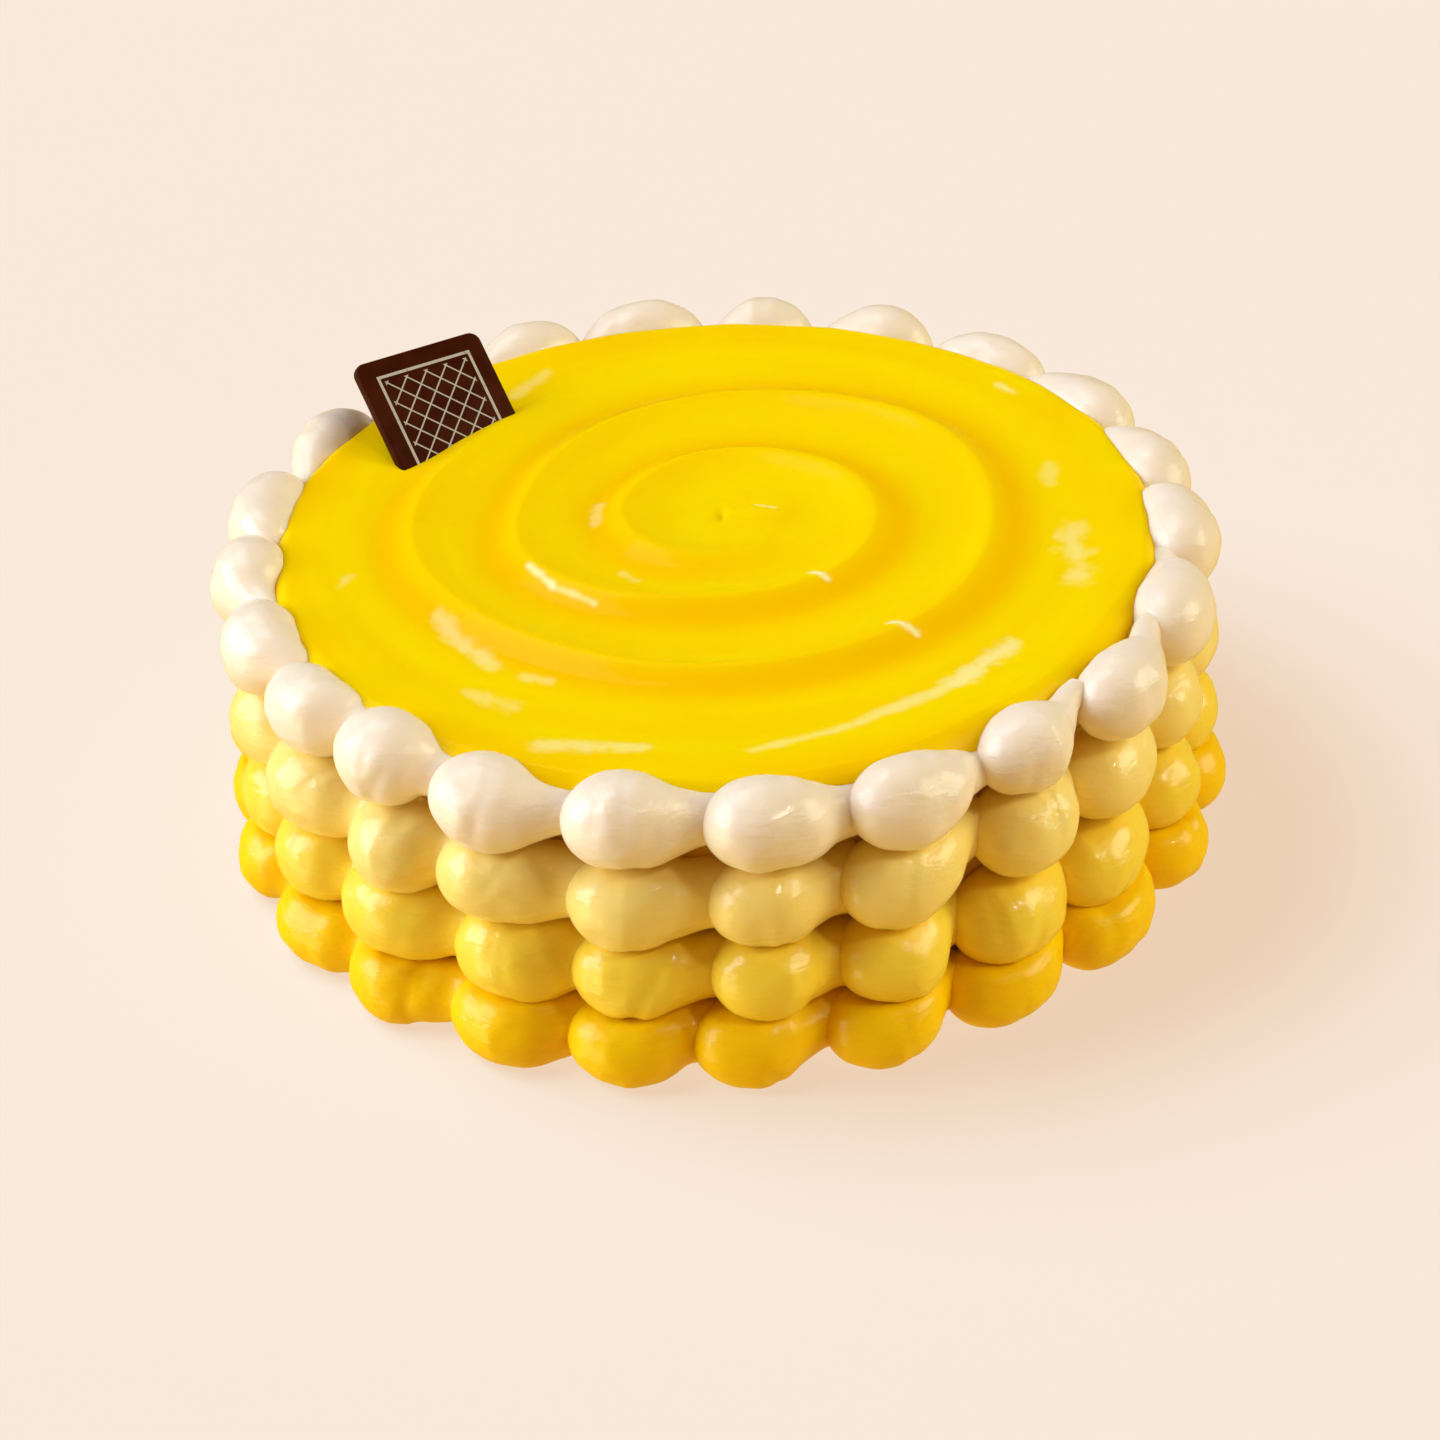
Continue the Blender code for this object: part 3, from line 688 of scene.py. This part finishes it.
def slope_share(angle):
    """1 at the right of the front, where the glaze slopes down wider than elsewhere, and 0 away from it."""
    away = np.abs((np.degrees(angle) - SLOPE_AT_DEG + 180.0) % 360.0 - 180.0)
    return 1.0 - smooth_step(0.5 * SLOPE_HALF_DEG, 1.5 * SLOPE_HALF_DEG, away)


def glaze_rim(angle):
    """Radius of the glaze and of its rounded rim, which bulges over the piping at the back."""
    share = back_share(angle)
    shoulder = GLAZE_SHOULDER + (SLOPE_SHOULDER - GLAZE_SHOULDER) * slope_share(angle)
    return GLAZE_RADIUS + BACK_BULGE * share, shoulder + (BACK_SHOULDER - shoulder) * share


def tier_height(index, angle):
    """Height of a tier's middle at an angle, easing from one teardrop's height to the next."""
    heads = TIERS[index].heads
    first_deg, first_lift = heads[0]
    angles = np.array([head[0] for head in heads] + [first_deg + 360.0])
    lifts = np.array([head[1] for head in heads] + [first_lift])
    turned = (np.degrees(angle) - first_deg) % 360.0 + first_deg
    before = np.clip(np.searchsorted(angles, turned, side="right") - 1, 0, len(heads) - 1)
    share = smooth_step(angles[before], angles[before + 1], turned)
    lift = lifts[before] + (lifts[before + 1] - lifts[before]) * share
    drop = BACK_DROP * back_share(angle) if index == TOP_TIER else 0.0
    return TIERS[index].height + MILLIMETRE * lift - drop


def tier_limits(index, angle):
    """Levels that a tier's cream is pressed to by the tiers below and above it."""
    middle = tier_height(index, angle)
    low = np.zeros_like(middle)
    high = np.full_like(middle, 1.0)
    if index > 0:
        low = 0.5 * (tier_height(index - 1, angle) + middle) - PRESS_OVERLAP
    if index < TOP_TIER:
        high = 0.5 * (tier_height(index + 1, angle) + middle) + PRESS_OVERLAP
    return low, high


# Piped wall


def ring_distances(length, tip_radius):
    """How far a teardrop's rings of points lie from the tip of its head, as far as its end is buried."""
    head_part = HEAD_LENGTH * (1.0 - np.cos(0.5 * math.pi * np.arange(1, HEAD_STATIONS + 1) / HEAD_STATIONS))
    tail_length = length + NECK_BURIED * tip_radius - HEAD_LENGTH
    tail_part = HEAD_LENGTH + tail_length * np.arange(1, TAIL_STATIONS + 1) / TAIL_STATIONS
    return np.concatenate([head_part, tail_part])[:, None]


def dollop_thickness(distance, turn, length, head, form):
    """Radius of a teardrop at a distance from the tip of its head and a turn around it."""
    neck = MILLIMETRE * form.neck
    back = np.clip((HEAD_LENGTH - distance) / HEAD_LENGTH, 0.0, 1.0)
    round_part = head * np.sqrt(np.clip(1.0 - back * back, 0.0, 1.0))
    if form.body == 0.0:
        share = np.clip((distance - HEAD_LENGTH) / (length - HEAD_LENGTH), 0.0, 1.0)
        drawn_part = neck + (head - neck) * 0.5 * (1.0 + np.cos(math.pi * share))
    else:
        body_end = form.body * length + MILLIMETRE * form.slant * np.sin(turn)
        share = np.clip((distance - HEAD_LENGTH) / (body_end - HEAD_LENGTH), 0.0, 1.0)
        body = head * (1.0 - BODY_TAPER * share) * np.sqrt(1.0 - share ** form.blunt)
        thinned = smooth_step(HEAD_LENGTH, length, distance)
        drawn_part = soft_max(body, neck + (MILLIMETRE * form.tip - neck) * thinned, NECK_ROUNDING)
    return np.where(distance < HEAD_LENGTH, round_part, drawn_part)


def crease_depth(distance, turn, creases):
    """How far the creases sink the surface at a distance from the tip and a turn round the body."""
    depth = np.zeros(np.broadcast(distance, turn).shape)
    for crease in creases:
        off = distance - MILLIMETRE * (crease.along + crease.slant * np.sin(turn))
        facing = np.clip(np.cos(turn - math.radians(crease.turn_deg)), 0.0, 1.0)
        depth += MILLIMETRE * crease.depth * facing * np.exp(-(off / (MILLIMETRE * crease.width)) ** 2)
    return depth


def pressed_points(index, angle, turn, thickness, middle_out, middle_up):
    """Points round a teardrop's middle line, pressed flat by the tiers below and above it."""
    squash = SIDE_SQUASH * side_share(angle) if index == TOP_TIER else 0.0
    out = middle_out + thickness * (np.cos(turn) + squash * (1.0 - np.cos(turn)))
    up = middle_up + thickness * np.sin(turn)
    low, high = tier_limits(index, angle)
    up = soft_min(soft_max(up, low, PRESS_ROUNDING), high, PRESS_ROUNDING)
    if index == 0:
        up = np.maximum(up, 0.0)
    return np.stack([out * np.cos(angle), out * np.sin(angle), up], axis=-1)


def ways_out(angle, turn):
    """The way straight out of a teardrop at each of its points."""
    angle, turn = np.broadcast_arrays(angle, turn)
    return np.stack([np.cos(turn) * np.cos(angle), np.cos(turn) * np.sin(angle), np.sin(turn)], axis=-1)


def tip_point(index, angle, radius):
    """The tip of a teardrop's head."""
    return [radius * math.cos(angle), radius * math.sin(angle), float(tier_height(index, angle))]


def end_point(index, last_angle, out, up, tip_radius):
    """The middle of a neck's rounded end, which stays between the tiers below and above it."""
    angle = last_angle + END_ROUNDING * tip_radius / PIPING_RADIUS
    if index < TOP_TIER:
        low, high = tier_limits(index, last_angle)
        margin = END_MARGIN * tip_radius
        up = float(np.clip(up, low + margin, high - margin))
    return [out * math.cos(angle), out * math.sin(angle), up]


def dollop(index, name, start_deg, length, radius, head, form, creases):
    """One piped teardrop: a round head and body, and a neck drawn out counter-clockwise."""
    tip_radius = MILLIMETRE * form.tip
    distance = ring_distances(length, tip_radius)
    turn = (2.0 * math.pi * np.arange(SECTION_SIDES) / SECTION_SIDES)[None, :]
    start = math.radians(start_deg)
    angle = start + distance / PIPING_RADIUS
    drawn = smooth_step(HEAD_LENGTH, length, distance)
    tucked = smooth_step(NECK_TUCK_STARTS * length, length, distance)
    middle_out = radius - (TIERS[index].inset + MILLIMETRE * form.inward) * drawn - NECK_TUCK * tucked
    middle_up = tier_height(index, angle) + MILLIMETRE * form.lift * drawn
    thickness = dollop_thickness(distance, turn, length, head, form)
    points = pressed_points(index, angle, turn, thickness, middle_out, middle_up)
    swell = waves(points, CREAM_WAVES, 31 * index + start_deg) - crease_depth(distance, turn, creases)
    fade = np.minimum(1.0, thickness / head)
    points = points + ways_out(angle, turn) * (swell * fade)[..., None]
    points[..., 2] = np.maximum(points[..., 2], 0.0)
    tip = tip_point(index, start, radius)
    end = end_point(index, float(angle[-1, 0]), float(middle_out[-1, 0]), float(middle_up[-1, 0]), tip_radius)
    flat = np.concatenate([points.reshape(-1, 3), [tip], [end]])
    return make_mesh_object(name, flat, capped_faces(len(distance), SECTION_SIDES))


def drawn_form(index, number, chance):
    """A teardrop's form, as the photo shows it or drawn at random where it is hidden."""
    slimmer = TOP_NECK_SLIMMER if index == TOP_TIER else 0.0
    neck = TIERS[index].tail / MILLIMETRE - slimmer + chance.uniform(*DRAWN_NECK)
    body = chance.choice(DRAWN_BODY)
    blunt = chance.uniform(*DRAWN_BLUNT)
    slant = chance.uniform(*DRAWN_SLANT)
    lift = chance.uniform(*DRAWN_LIFT)
    inward = chance.uniform(*DRAWN_INWARD)
    return FORMS.get((index, number), Form(body, blunt, slant, neck, TIP_SHARE * neck, lift, inward))


def drawn_creases(index, number, chance):
    """A teardrop's creases: shallow ones drawn at random, and those that the photo shows."""
    shallow = []
    for count in range(SHALLOW_CREASES):
        shallow.append(Crease(*[chance.uniform(*limits) for limits in DRAWN_CREASE]))
    return (*shallow, *CREASES.get((index, number), ()))


def piped_tier(index, material):
    """One tier of teardrops, each head laid over the tail of the one before it."""
    tier = TIERS[index]
    chance = random.Random(RANDOM_SEED + index)
    first_deg = -math.degrees(HEAD_LENGTH / PIPING_RADIUS)
    starts = [angle_deg + first_deg for angle_deg, lift in tier.heads]
    pieces = []
    for number, start_deg in enumerate(starts):
        following = starts[(number + 1) % len(starts)]
        spacing = math.radians((following - start_deg) % 360.0) * PIPING_RADIUS
        at_back = float(back_share(math.radians(start_deg))) if index == TOP_TIER else 0.0
        radius = tier.radius + BACK_SHIFT * at_back + RADIUS_SPREAD * chance.uniform(-1.0, 1.0)
        radius += MILLIMETRE * FURTHER_OUT.get((index, number), 0.0)
        drawn_size = 1.0 + HEAD_SPREAD * chance.uniform(-1.0, 1.0)
        head = tier.head * SMALLER_HEADS.get((index, number), drawn_size)
        form = drawn_form(index, number, chance)
        creases = drawn_creases(index, number, chance)
        name = f"cream_{index}_{number}"
        pieces.append(dollop(index, name, start_deg, spacing + TAIL_OVERLAP, radius, head, form, creases))
    ring = union_of(pieces)
    ring.name = tier.node + "_cream"
    ring.data.shade_smooth()
    ring.data.set_sharp_from_angle(angle=math.radians(CREAM_FOLD_DEG))
    ring.data.materials.clear()
    ring.data.materials.append(material)
    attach(ring, BODY)
    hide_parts(tier.node)
    return ring


# Glaze


def crest_distance(turns):
    """Distance of the crest from the swirl's centre after so many turns, smoothly between its points."""
    places = np.array([point[0] for point in CREST])
    values = MILLIMETRE * np.array([point[1] for point in CREST])
    slopes = np.gradient(values, places)
    turned = np.clip(turns, places[0], places[-1])
    before = np.clip(np.searchsorted(places, turned, side="right") - 1, 0, len(places) - 2)
    after = before + 1
    width = places[after] - places[before]
    t = (turned - places[before]) / width
    start_value = (2 * t ** 3 - 3 * t ** 2 + 1) * values[before]
    start_slope = (t ** 3 - 2 * t ** 2 + t) * width * slopes[before]
    end_value = (-2 * t ** 3 + 3 * t ** 2) * values[after]
    end_slope = (t ** 3 - t ** 2) * width * slopes[after]
    return start_value + start_slope + end_value + end_slope


def swirl(x, y):
    """Height of the knife's spiral ridge, steeper on its outer side, and a band beside it of gathered gel and
    painted groove shade.
    """
    across = x - SWIRL_CENTRE.x
    along = y - SWIRL_CENTRE.y
    distance = np.hypot(across, along)
    clockwise = (math.radians(SWIRL_START_DEG) - np.arctan2(along, across)) / (2.0 * math.pi) % 1.0
    ridge = np.zeros_like(distance)
    pooled_and_shade = np.zeros_like(distance)
    for lap in (-1, 0, 1, 2):
        turns = clockwise + lap
        strength = smooth_step(*CREST_RISES, turns) * (1.0 - smooth_step(*CREST_FALLS, turns))
        off = distance - crest_distance(turns)
        width = np.where(off > 0.0, OUTER_GROOVE_WIDTH, INNER_GROOVE_WIDTH)
        away = np.sqrt(off ** 2 + CREST_ROUNDING ** 2) - CREST_ROUNDING
        ridge = np.maximum(ridge, strength * np.clip(1.0 - away / width, 0.0, 1.0) ** 2)
        # The band outside the crest: gathered gel, and partly painted shade of the groove there
        pooled_and_shade = np.maximum(pooled_and_shade, strength * np.exp(-((off - POOL_AND_SHADE_AT) / POOL_AND_SHADE_WIDTH) ** 2))
    return GROOVE_DEPTH * (ridge - GROOVE_LEVEL), pooled_and_shade


def away_from(bump, x, y):
    """How far a place lies from a bump's middle, squared, as a share of the bump's reach."""
    return ((x - bump.x) / bump.width) ** 2 + ((y - bump.y) / bump.length) ** 2


def curl_height(x, y):
    """The little curl that the knife left in the middle, and the notch beside it."""
    curl = CURL.height * np.exp(-away_from(CURL, x, y) ** CURL_SHARPNESS)
    return curl + NOTCH.height * np.exp(-away_from(NOTCH, x, y))


def face_height(x, y):
    """Height of the glaze's face above its level."""
    inside = 1.0 - smooth_step(SWIRL_FADES, SWIRL_ENDS, np.hypot(x, y))
    points = np.stack([x, y, np.zeros_like(x)], axis=-1)
    return (swirl(x, y)[0] + curl_height(x, y)) * inside + waves(points, FACE_WAVES)


def thin_and_glint_places(points):
    """How pale the glaze is at each point, 0 to 1: cream showing through, and painted reflections and glints.
    """
    ragged = waves(points, STREAK_WAVES)
    total = np.zeros(points.shape[:-1])
    for streak in STREAKS_AND_GLINTS:
        start = MILLIMETRE * np.array((streak.x0, streak.y0))
        run = MILLIMETRE * np.array((streak.x1, streak.y1)) - start
        offset = points[..., :2] - start
        share = np.clip((offset @ run) / (run @ run), 0.0, 1.0)
        away = np.linalg.norm(offset - share[..., None] * run, axis=-1) / (MILLIMETRE * streak.half)
        inside = 1.0 - smooth_step(0.0, 1.0, away + ragged)
        total = np.maximum(total, streak.strength * inside)
    return total


def gel_marks(points, thick):
    """What the glaze's material reads at each point: how thick the gel is, how pale with cream and painted
    glints, and how far gathered with painted shade.
    """
    near_rim = smooth_step(RIM_POOL_STARTS, RIM_POOL_FULL, np.hypot(points[:, 0], points[:, 1]))
    at_rim = near_rim * np.clip(RIM_POOL_LEVEL + waves(points, RIM_POOL_WAVES), 0.0, 1.0)
    at_ridge = swirl(points[:, 0], points[:, 1])[1]
    on_face = 1.0 - thick
    thin_and_glint = thin_and_glint_places(points) * on_face
    pooled_and_shade = np.maximum(at_ridge, at_rim) * on_face
    return (("thick", thick), ("thin_and_glint", thin_and_glint), ("pooled_and_shade", pooled_and_shade))


def ring_at(angle, out, up):
    """A ring of points round the cake."""
    return np.stack([out * np.cos(angle), out * np.sin(angle), np.broadcast_to(up, angle.shape)], axis=-1)


def face_rings(angle, face_edge):
    """Rings of the swirled face, from the swirl's centre to the crisp edge."""
    rings = []
    for ring in range(1, FACE_RINGS + 1):
        share = ring / FACE_RINGS
        x = SWIRL_CENTRE.x * (1.0 - share) + face_edge * share * np.cos(angle)
        y = SWIRL_CENTRE.y * (1.0 - share) + face_edge * share * np.sin(angle)
        rings.append(np.stack([x, y, GLAZE_TOP + face_height(x, y)], axis=-1))
    return rings


def rim_rings(angle, face_edge, shoulder, edge_lift):
    """Rings of the rounded rim, from the crisp edge down."""
    power = RIM_ROUNDNESS + BACK_ROUNDNESS * back_share(angle)
    rings = []
    for step in range(1, RIM_STEPS + 1):
        part = 0.5 * math.pi * step / RIM_STEPS
        out = face_edge + shoulder * np.sin(part) ** (2.0 / power)
        up = GLAZE_TOP - shoulder + (shoulder + edge_lift) * max(np.cos(part), 0.0) ** (2.0 / power)
        rings.append(ring_at(angle, out, up))
    return rings


def rim_thickness(angle):
    """How thick the gel is on each ring of the rim: most where it slopes, and not at all at the back."""
    most = THICK_LEAST + (1.0 - THICK_LEAST) * slope_share(angle)
    rings = []
    for step in range(1, RIM_STEPS + 1):
        rings.append(smooth_step(THICK_STARTS, THICK_FULL, float(step)) * most * (1.0 - back_share(angle)))
    return rings


def hem_rings(angle):
    """Rings of the hem over the cake's edge and of the flat underside."""
    corners = (
        (CAKE_RADIUS + HEM_HALF, HEM_LOW),
        (CAKE_RADIUS - HEM_HALF, HEM_LOW),
        (CAKE_RADIUS - HEM_HALF, GLAZE_UNDERSIDE),
        (0.5 * CAKE_RADIUS, GLAZE_UNDERSIDE),
    )
    return [ring_at(angle, out, up) for out, up in corners]


def swirl_middle():
    """The point of the face at the swirl's centre."""
    centre = np.array([[SWIRL_CENTRE.x, SWIRL_CENTRE.y, 0.0]])
    centre[0, 2] = GLAZE_TOP + face_height(centre[:, 0], centre[:, 1])[0]
    return centre


def glaze_shell(material):
    """The glaze: a swirled face, a crisp edge, a sloping shoulder and a hem, over a flat underside."""
    angle = 2.0 * math.pi * np.arange(FACE_SEGMENTS) / FACE_SEGMENTS
    radius, shoulder = glaze_rim(angle)
    face_edge = radius + waves(ring_at(angle, GLAZE_RADIUS, 0.0), RIM_WAVES) - shoulder
    face = face_rings(angle, face_edge)
    rim = rim_rings(angle, face_edge, shoulder, face[-1][:, 2] - GLAZE_TOP)
    hem = hem_rings(angle)
    rings = face + rim + hem
    points = np.concatenate([*rings, swirl_middle(), [[0.0, 0.0, GLAZE_UNDERSIDE]]])
    thin_face = [np.zeros_like(angle)] * len(face)
    thick_hem = [np.ones_like(angle)] * len(hem)
    thick = np.concatenate([*thin_face, *rim_thickness(angle), *thick_hem, [0.0, 1.0]])
    glaze = make_mesh_object("lemon_glaze_gel", points, capped_faces(len(rings), FACE_SEGMENTS))
    for name, values in gel_marks(points, thick):
        glaze.data.attributes.new(name, "FLOAT", "POINT").data.foreach_set("value", values.astype(np.float32))
    glaze.data.materials.append(material)
    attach(glaze, BODY)
    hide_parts("lemon_glaze")
    return glaze


# Plaque


def rounded_square(side, corner):
    """Corner points of a square with round corners, counter-clockwise."""
    reach = (0.5 * side - corner) * math.sqrt(2.0)
    points = []
    for quarter in range(4):
        middle = math.radians(90.0 * quarter + 45.0)
        for step in range(CORNER_STEPS + 1):
            turn = math.radians(90.0 * (quarter + step / CORNER_STEPS))
            x = reach * math.cos(middle) + corner * math.cos(turn)
            y = reach * math.sin(middle) + corner * math.sin(turn)
            points.append((x, y))
    return points


def plaque_levels():
    """From the bottom up, how far the plaque's rounded edge is set in, and at which level."""
    levels = []
    for side, start_deg in ((-1.0, -90.0), (1.0, 0.0)):
        for step in range(EDGE_STEPS + 1):
            turn = math.radians(start_deg + 90.0 * step / EDGE_STEPS)
            inset = PLAQUE_ROUNDING * (1.0 - math.cos(turn))
            level = side * (0.5 * PLAQUE_THICKNESS - PLAQUE_ROUNDING * (1.0 - side * math.sin(turn)))
            levels.append((inset, level))
    return levels


def plaque_place():
    """Turn to its heading, lean back, roll in its own plane, and hang from the middle of its top edge."""
    heading = Matrix.Rotation(math.radians(PLAQUE_HEADING_DEG), 4, "Z")
    lean = Matrix.Rotation(math.radians(90.0 - PLAQUE_LEAN_DEG), 4, "X")
    roll = Matrix.Rotation(math.radians(PLAQUE_ROLL_DEG), 4, "Z")
    drop = Matrix.Translation((0.0, -0.5 * PLAQUE_SIDE, -0.5 * PLAQUE_THICKNESS))
    return Matrix.Translation(PLAQUE_TOP_MIDDLE) @ heading @ lean @ roll @ drop


def plaque(material):
    """The chocolate square, with rounded corners and edges."""
    levels = plaque_levels()
    points = []
    for inset, level in levels:
        outline = rounded_square(PLAQUE_SIDE - 2.0 * inset, PLAQUE_CORNER - inset)
        points.extend((x, y, level) for x, y in outline)
    count = len(outline)
    top = (len(levels) - 1) * count
    faces = grid_faces(len(levels), count, flip=True)
    faces.append(tuple(reversed(range(count))))
    faces.append(tuple(range(top, top + count)))
    slab = make_mesh_object("plaque_slab", points, faces)
    slab.data.set_sharp_from_angle(angle=math.radians(PLAQUE_EDGE_DEG))
    slab.matrix_world = plaque_place()
    slab.data.materials.append(material)
    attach(slab, BODY)
    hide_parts("chocolate_plaque")
    return slab


# Surroundings


def seen_only(piece):
    """Let a piece of the surroundings be seen, but neither shade the cake nor reflect light on it."""
    piece.visible_diffuse = False
    piece.visible_glossy = False
    piece.visible_shadow = False


def circle(radius, level):
    """Points of a level circle round the cake."""
    turns = [2.0 * math.pi * side / STAGE_SIDES for side in range(STAGE_SIDES)]
    return [(radius * math.cos(turn), radius * math.sin(turn), level) for turn in turns]


def floor():
    sheet = make_mesh_object("floor", circle(STAGE_RADIUS, 0.0), [tuple(range(STAGE_SIDES))])
    sheet.data.materials.append(floor_material())
    seen_only(sheet)
    return sheet


def backdrop():
    """A plain pale dome round the floor, for views from low down."""
    points = []
    for ring in range(DOME_RINGS):
        height = 0.5 * math.pi * ring / DOME_RINGS
        points.extend(circle(STAGE_RADIUS * math.cos(height), STAGE_RADIUS * math.sin(height)))
    points.append((0.0, 0.0, STAGE_RADIUS))
    faces = grid_faces(DOME_RINGS, STAGE_SIDES)
    last = (DOME_RINGS - 1) * STAGE_SIDES
    for side in range(STAGE_SIDES):
        faces.append((last + side, len(points) - 1, last + (side + 1) % STAGE_SIDES))
    dome = make_mesh_object("backdrop", points, faces)
    dome.data.materials.append(backdrop_material())
    seen_only(dome)


def direction(azimuth_deg, height_deg):
    """The way from the cake to a light."""
    azimuth = math.radians(azimuth_deg)
    height = math.radians(height_deg)
    level = math.cos(height)
    return Vector((level * math.cos(azimuth), level * math.sin(azimuth), math.sin(height)))


def stand_lamp(lamp, way):
    """Stand a lamp where it faces the cake from a direction."""
    holder = bpy.data.objects.new(lamp.name, lamp)
    holder.location = way * LIGHT_DISTANCE + LIGHT_AIM
    holder.rotation_euler = way.to_track_quat("Z", "Y").to_euler()
    bpy.context.scene.collection.objects.link(holder)
    return holder


def link_to_floor(holder, sheet, state):
    """Let a light fall on the floor alone, or on everything but the floor."""
    receivers = bpy.data.collections.new(holder.name + "_receivers")
    receivers.objects.link(sheet)
    receivers.collection_objects[0].light_linking.link_state = state
    holder.light_linking.receiver_collection = receivers


def light(about, sheet):
    """A square softbox that faces the cake. Most of them pass the floor by, which keeps it even."""
    lamp = bpy.data.lights.new(about.name, "AREA")
    lamp.shape = "SQUARE"
    lamp.size = about.size
    lamp.energy = about.power
    lamp.color = about.colour
    holder = stand_lamp(lamp, direction(about.azimuth_deg, about.height_deg))
    if about.falls_on == "cake":
        link_to_floor(holder, sheet, "EXCLUDE")


def floor_light(sheet):
    """The light that falls on the floor alone."""
    lamp = bpy.data.lights.new("floor_light", "SUN")
    lamp.energy = FLOOR_LIGHT_STRENGTH
    lamp.angle = math.radians(FLOOR_LIGHT_SPREAD_DEG)
    holder = stand_lamp(lamp, direction(FLOOR_LIGHT_AZIMUTH_DEG, FLOOR_LIGHT_HEIGHT_DEG))
    link_to_floor(holder, sheet, "INCLUDE")


def world():
    """The warm glow, blended from above to below."""
    made = bpy.data.worlds.new("studio")
    made.use_nodes = True
    nodes = made.node_tree.nodes
    links = made.node_tree.links
    place = nodes.new("ShaderNodeTexCoord")
    parts = nodes.new("ShaderNodeSeparateXYZ")
    share = nodes.new("ShaderNodeMapRange")
    share.inputs["From Min"].default_value = -GLOW_BLEND
    share.inputs["From Max"].default_value = GLOW_BLEND
    glow = nodes.new("ShaderNodeMix")
    glow.data_type = "RGBA"
    glow.inputs["A"].default_value = (*GLOW_BELOW, 1.0)
    glow.inputs["B"].default_value = (*GLOW_ABOVE, 1.0)
    links.new(place.outputs["Generated"], parts.inputs[0])
    links.new(parts.outputs["Z"], share.inputs["Value"])
    links.new(share.outputs["Result"], glow.inputs["Factor"])
    links.new(glow.outputs["Result"], nodes["Background"].inputs["Color"])
    bpy.context.scene.world = made


def camera():
    lens = bpy.data.cameras.new("camera")
    lens.lens = CAMERA_LENS
    lens.sensor_width = CAMERA_SENSOR
    lens.clip_end = CAMERA_REACH
    holder = bpy.data.objects.new("camera", lens)
    tilt = Matrix.Rotation(math.radians(90.0 - CAMERA_PITCH_DEG), 4, "X")
    roll = Matrix.Rotation(math.radians(CAMERA_ROLL_DEG), 4, "Z")
    holder.matrix_world = Matrix.Translation(CAMERA_PLACE) @ tilt @ roll
    bpy.context.scene.collection.objects.link(holder)
    bpy.context.scene.camera = holder


def dress_cake():
    """Replace the solids by their fine shapes, and give what stays its material."""
    body = frame["nodes"]["cake_body"]
    body.data.materials.clear()
    body.data.materials.append(side_material())
    for index, cream in enumerate(CREAMS):
        piped_tier(index, cream_material(TIERS[index].slot + "_look", cream))
    glaze_shell(glaze_material())
    plaque(chocolate_material())


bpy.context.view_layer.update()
camera()
sheet = floor()
backdrop()
world()
for about in LIGHTS:
    light(about, sheet)
floor_light(sheet)
dress_cake()
bpy.context.scene.view_settings.view_transform = "Standard"
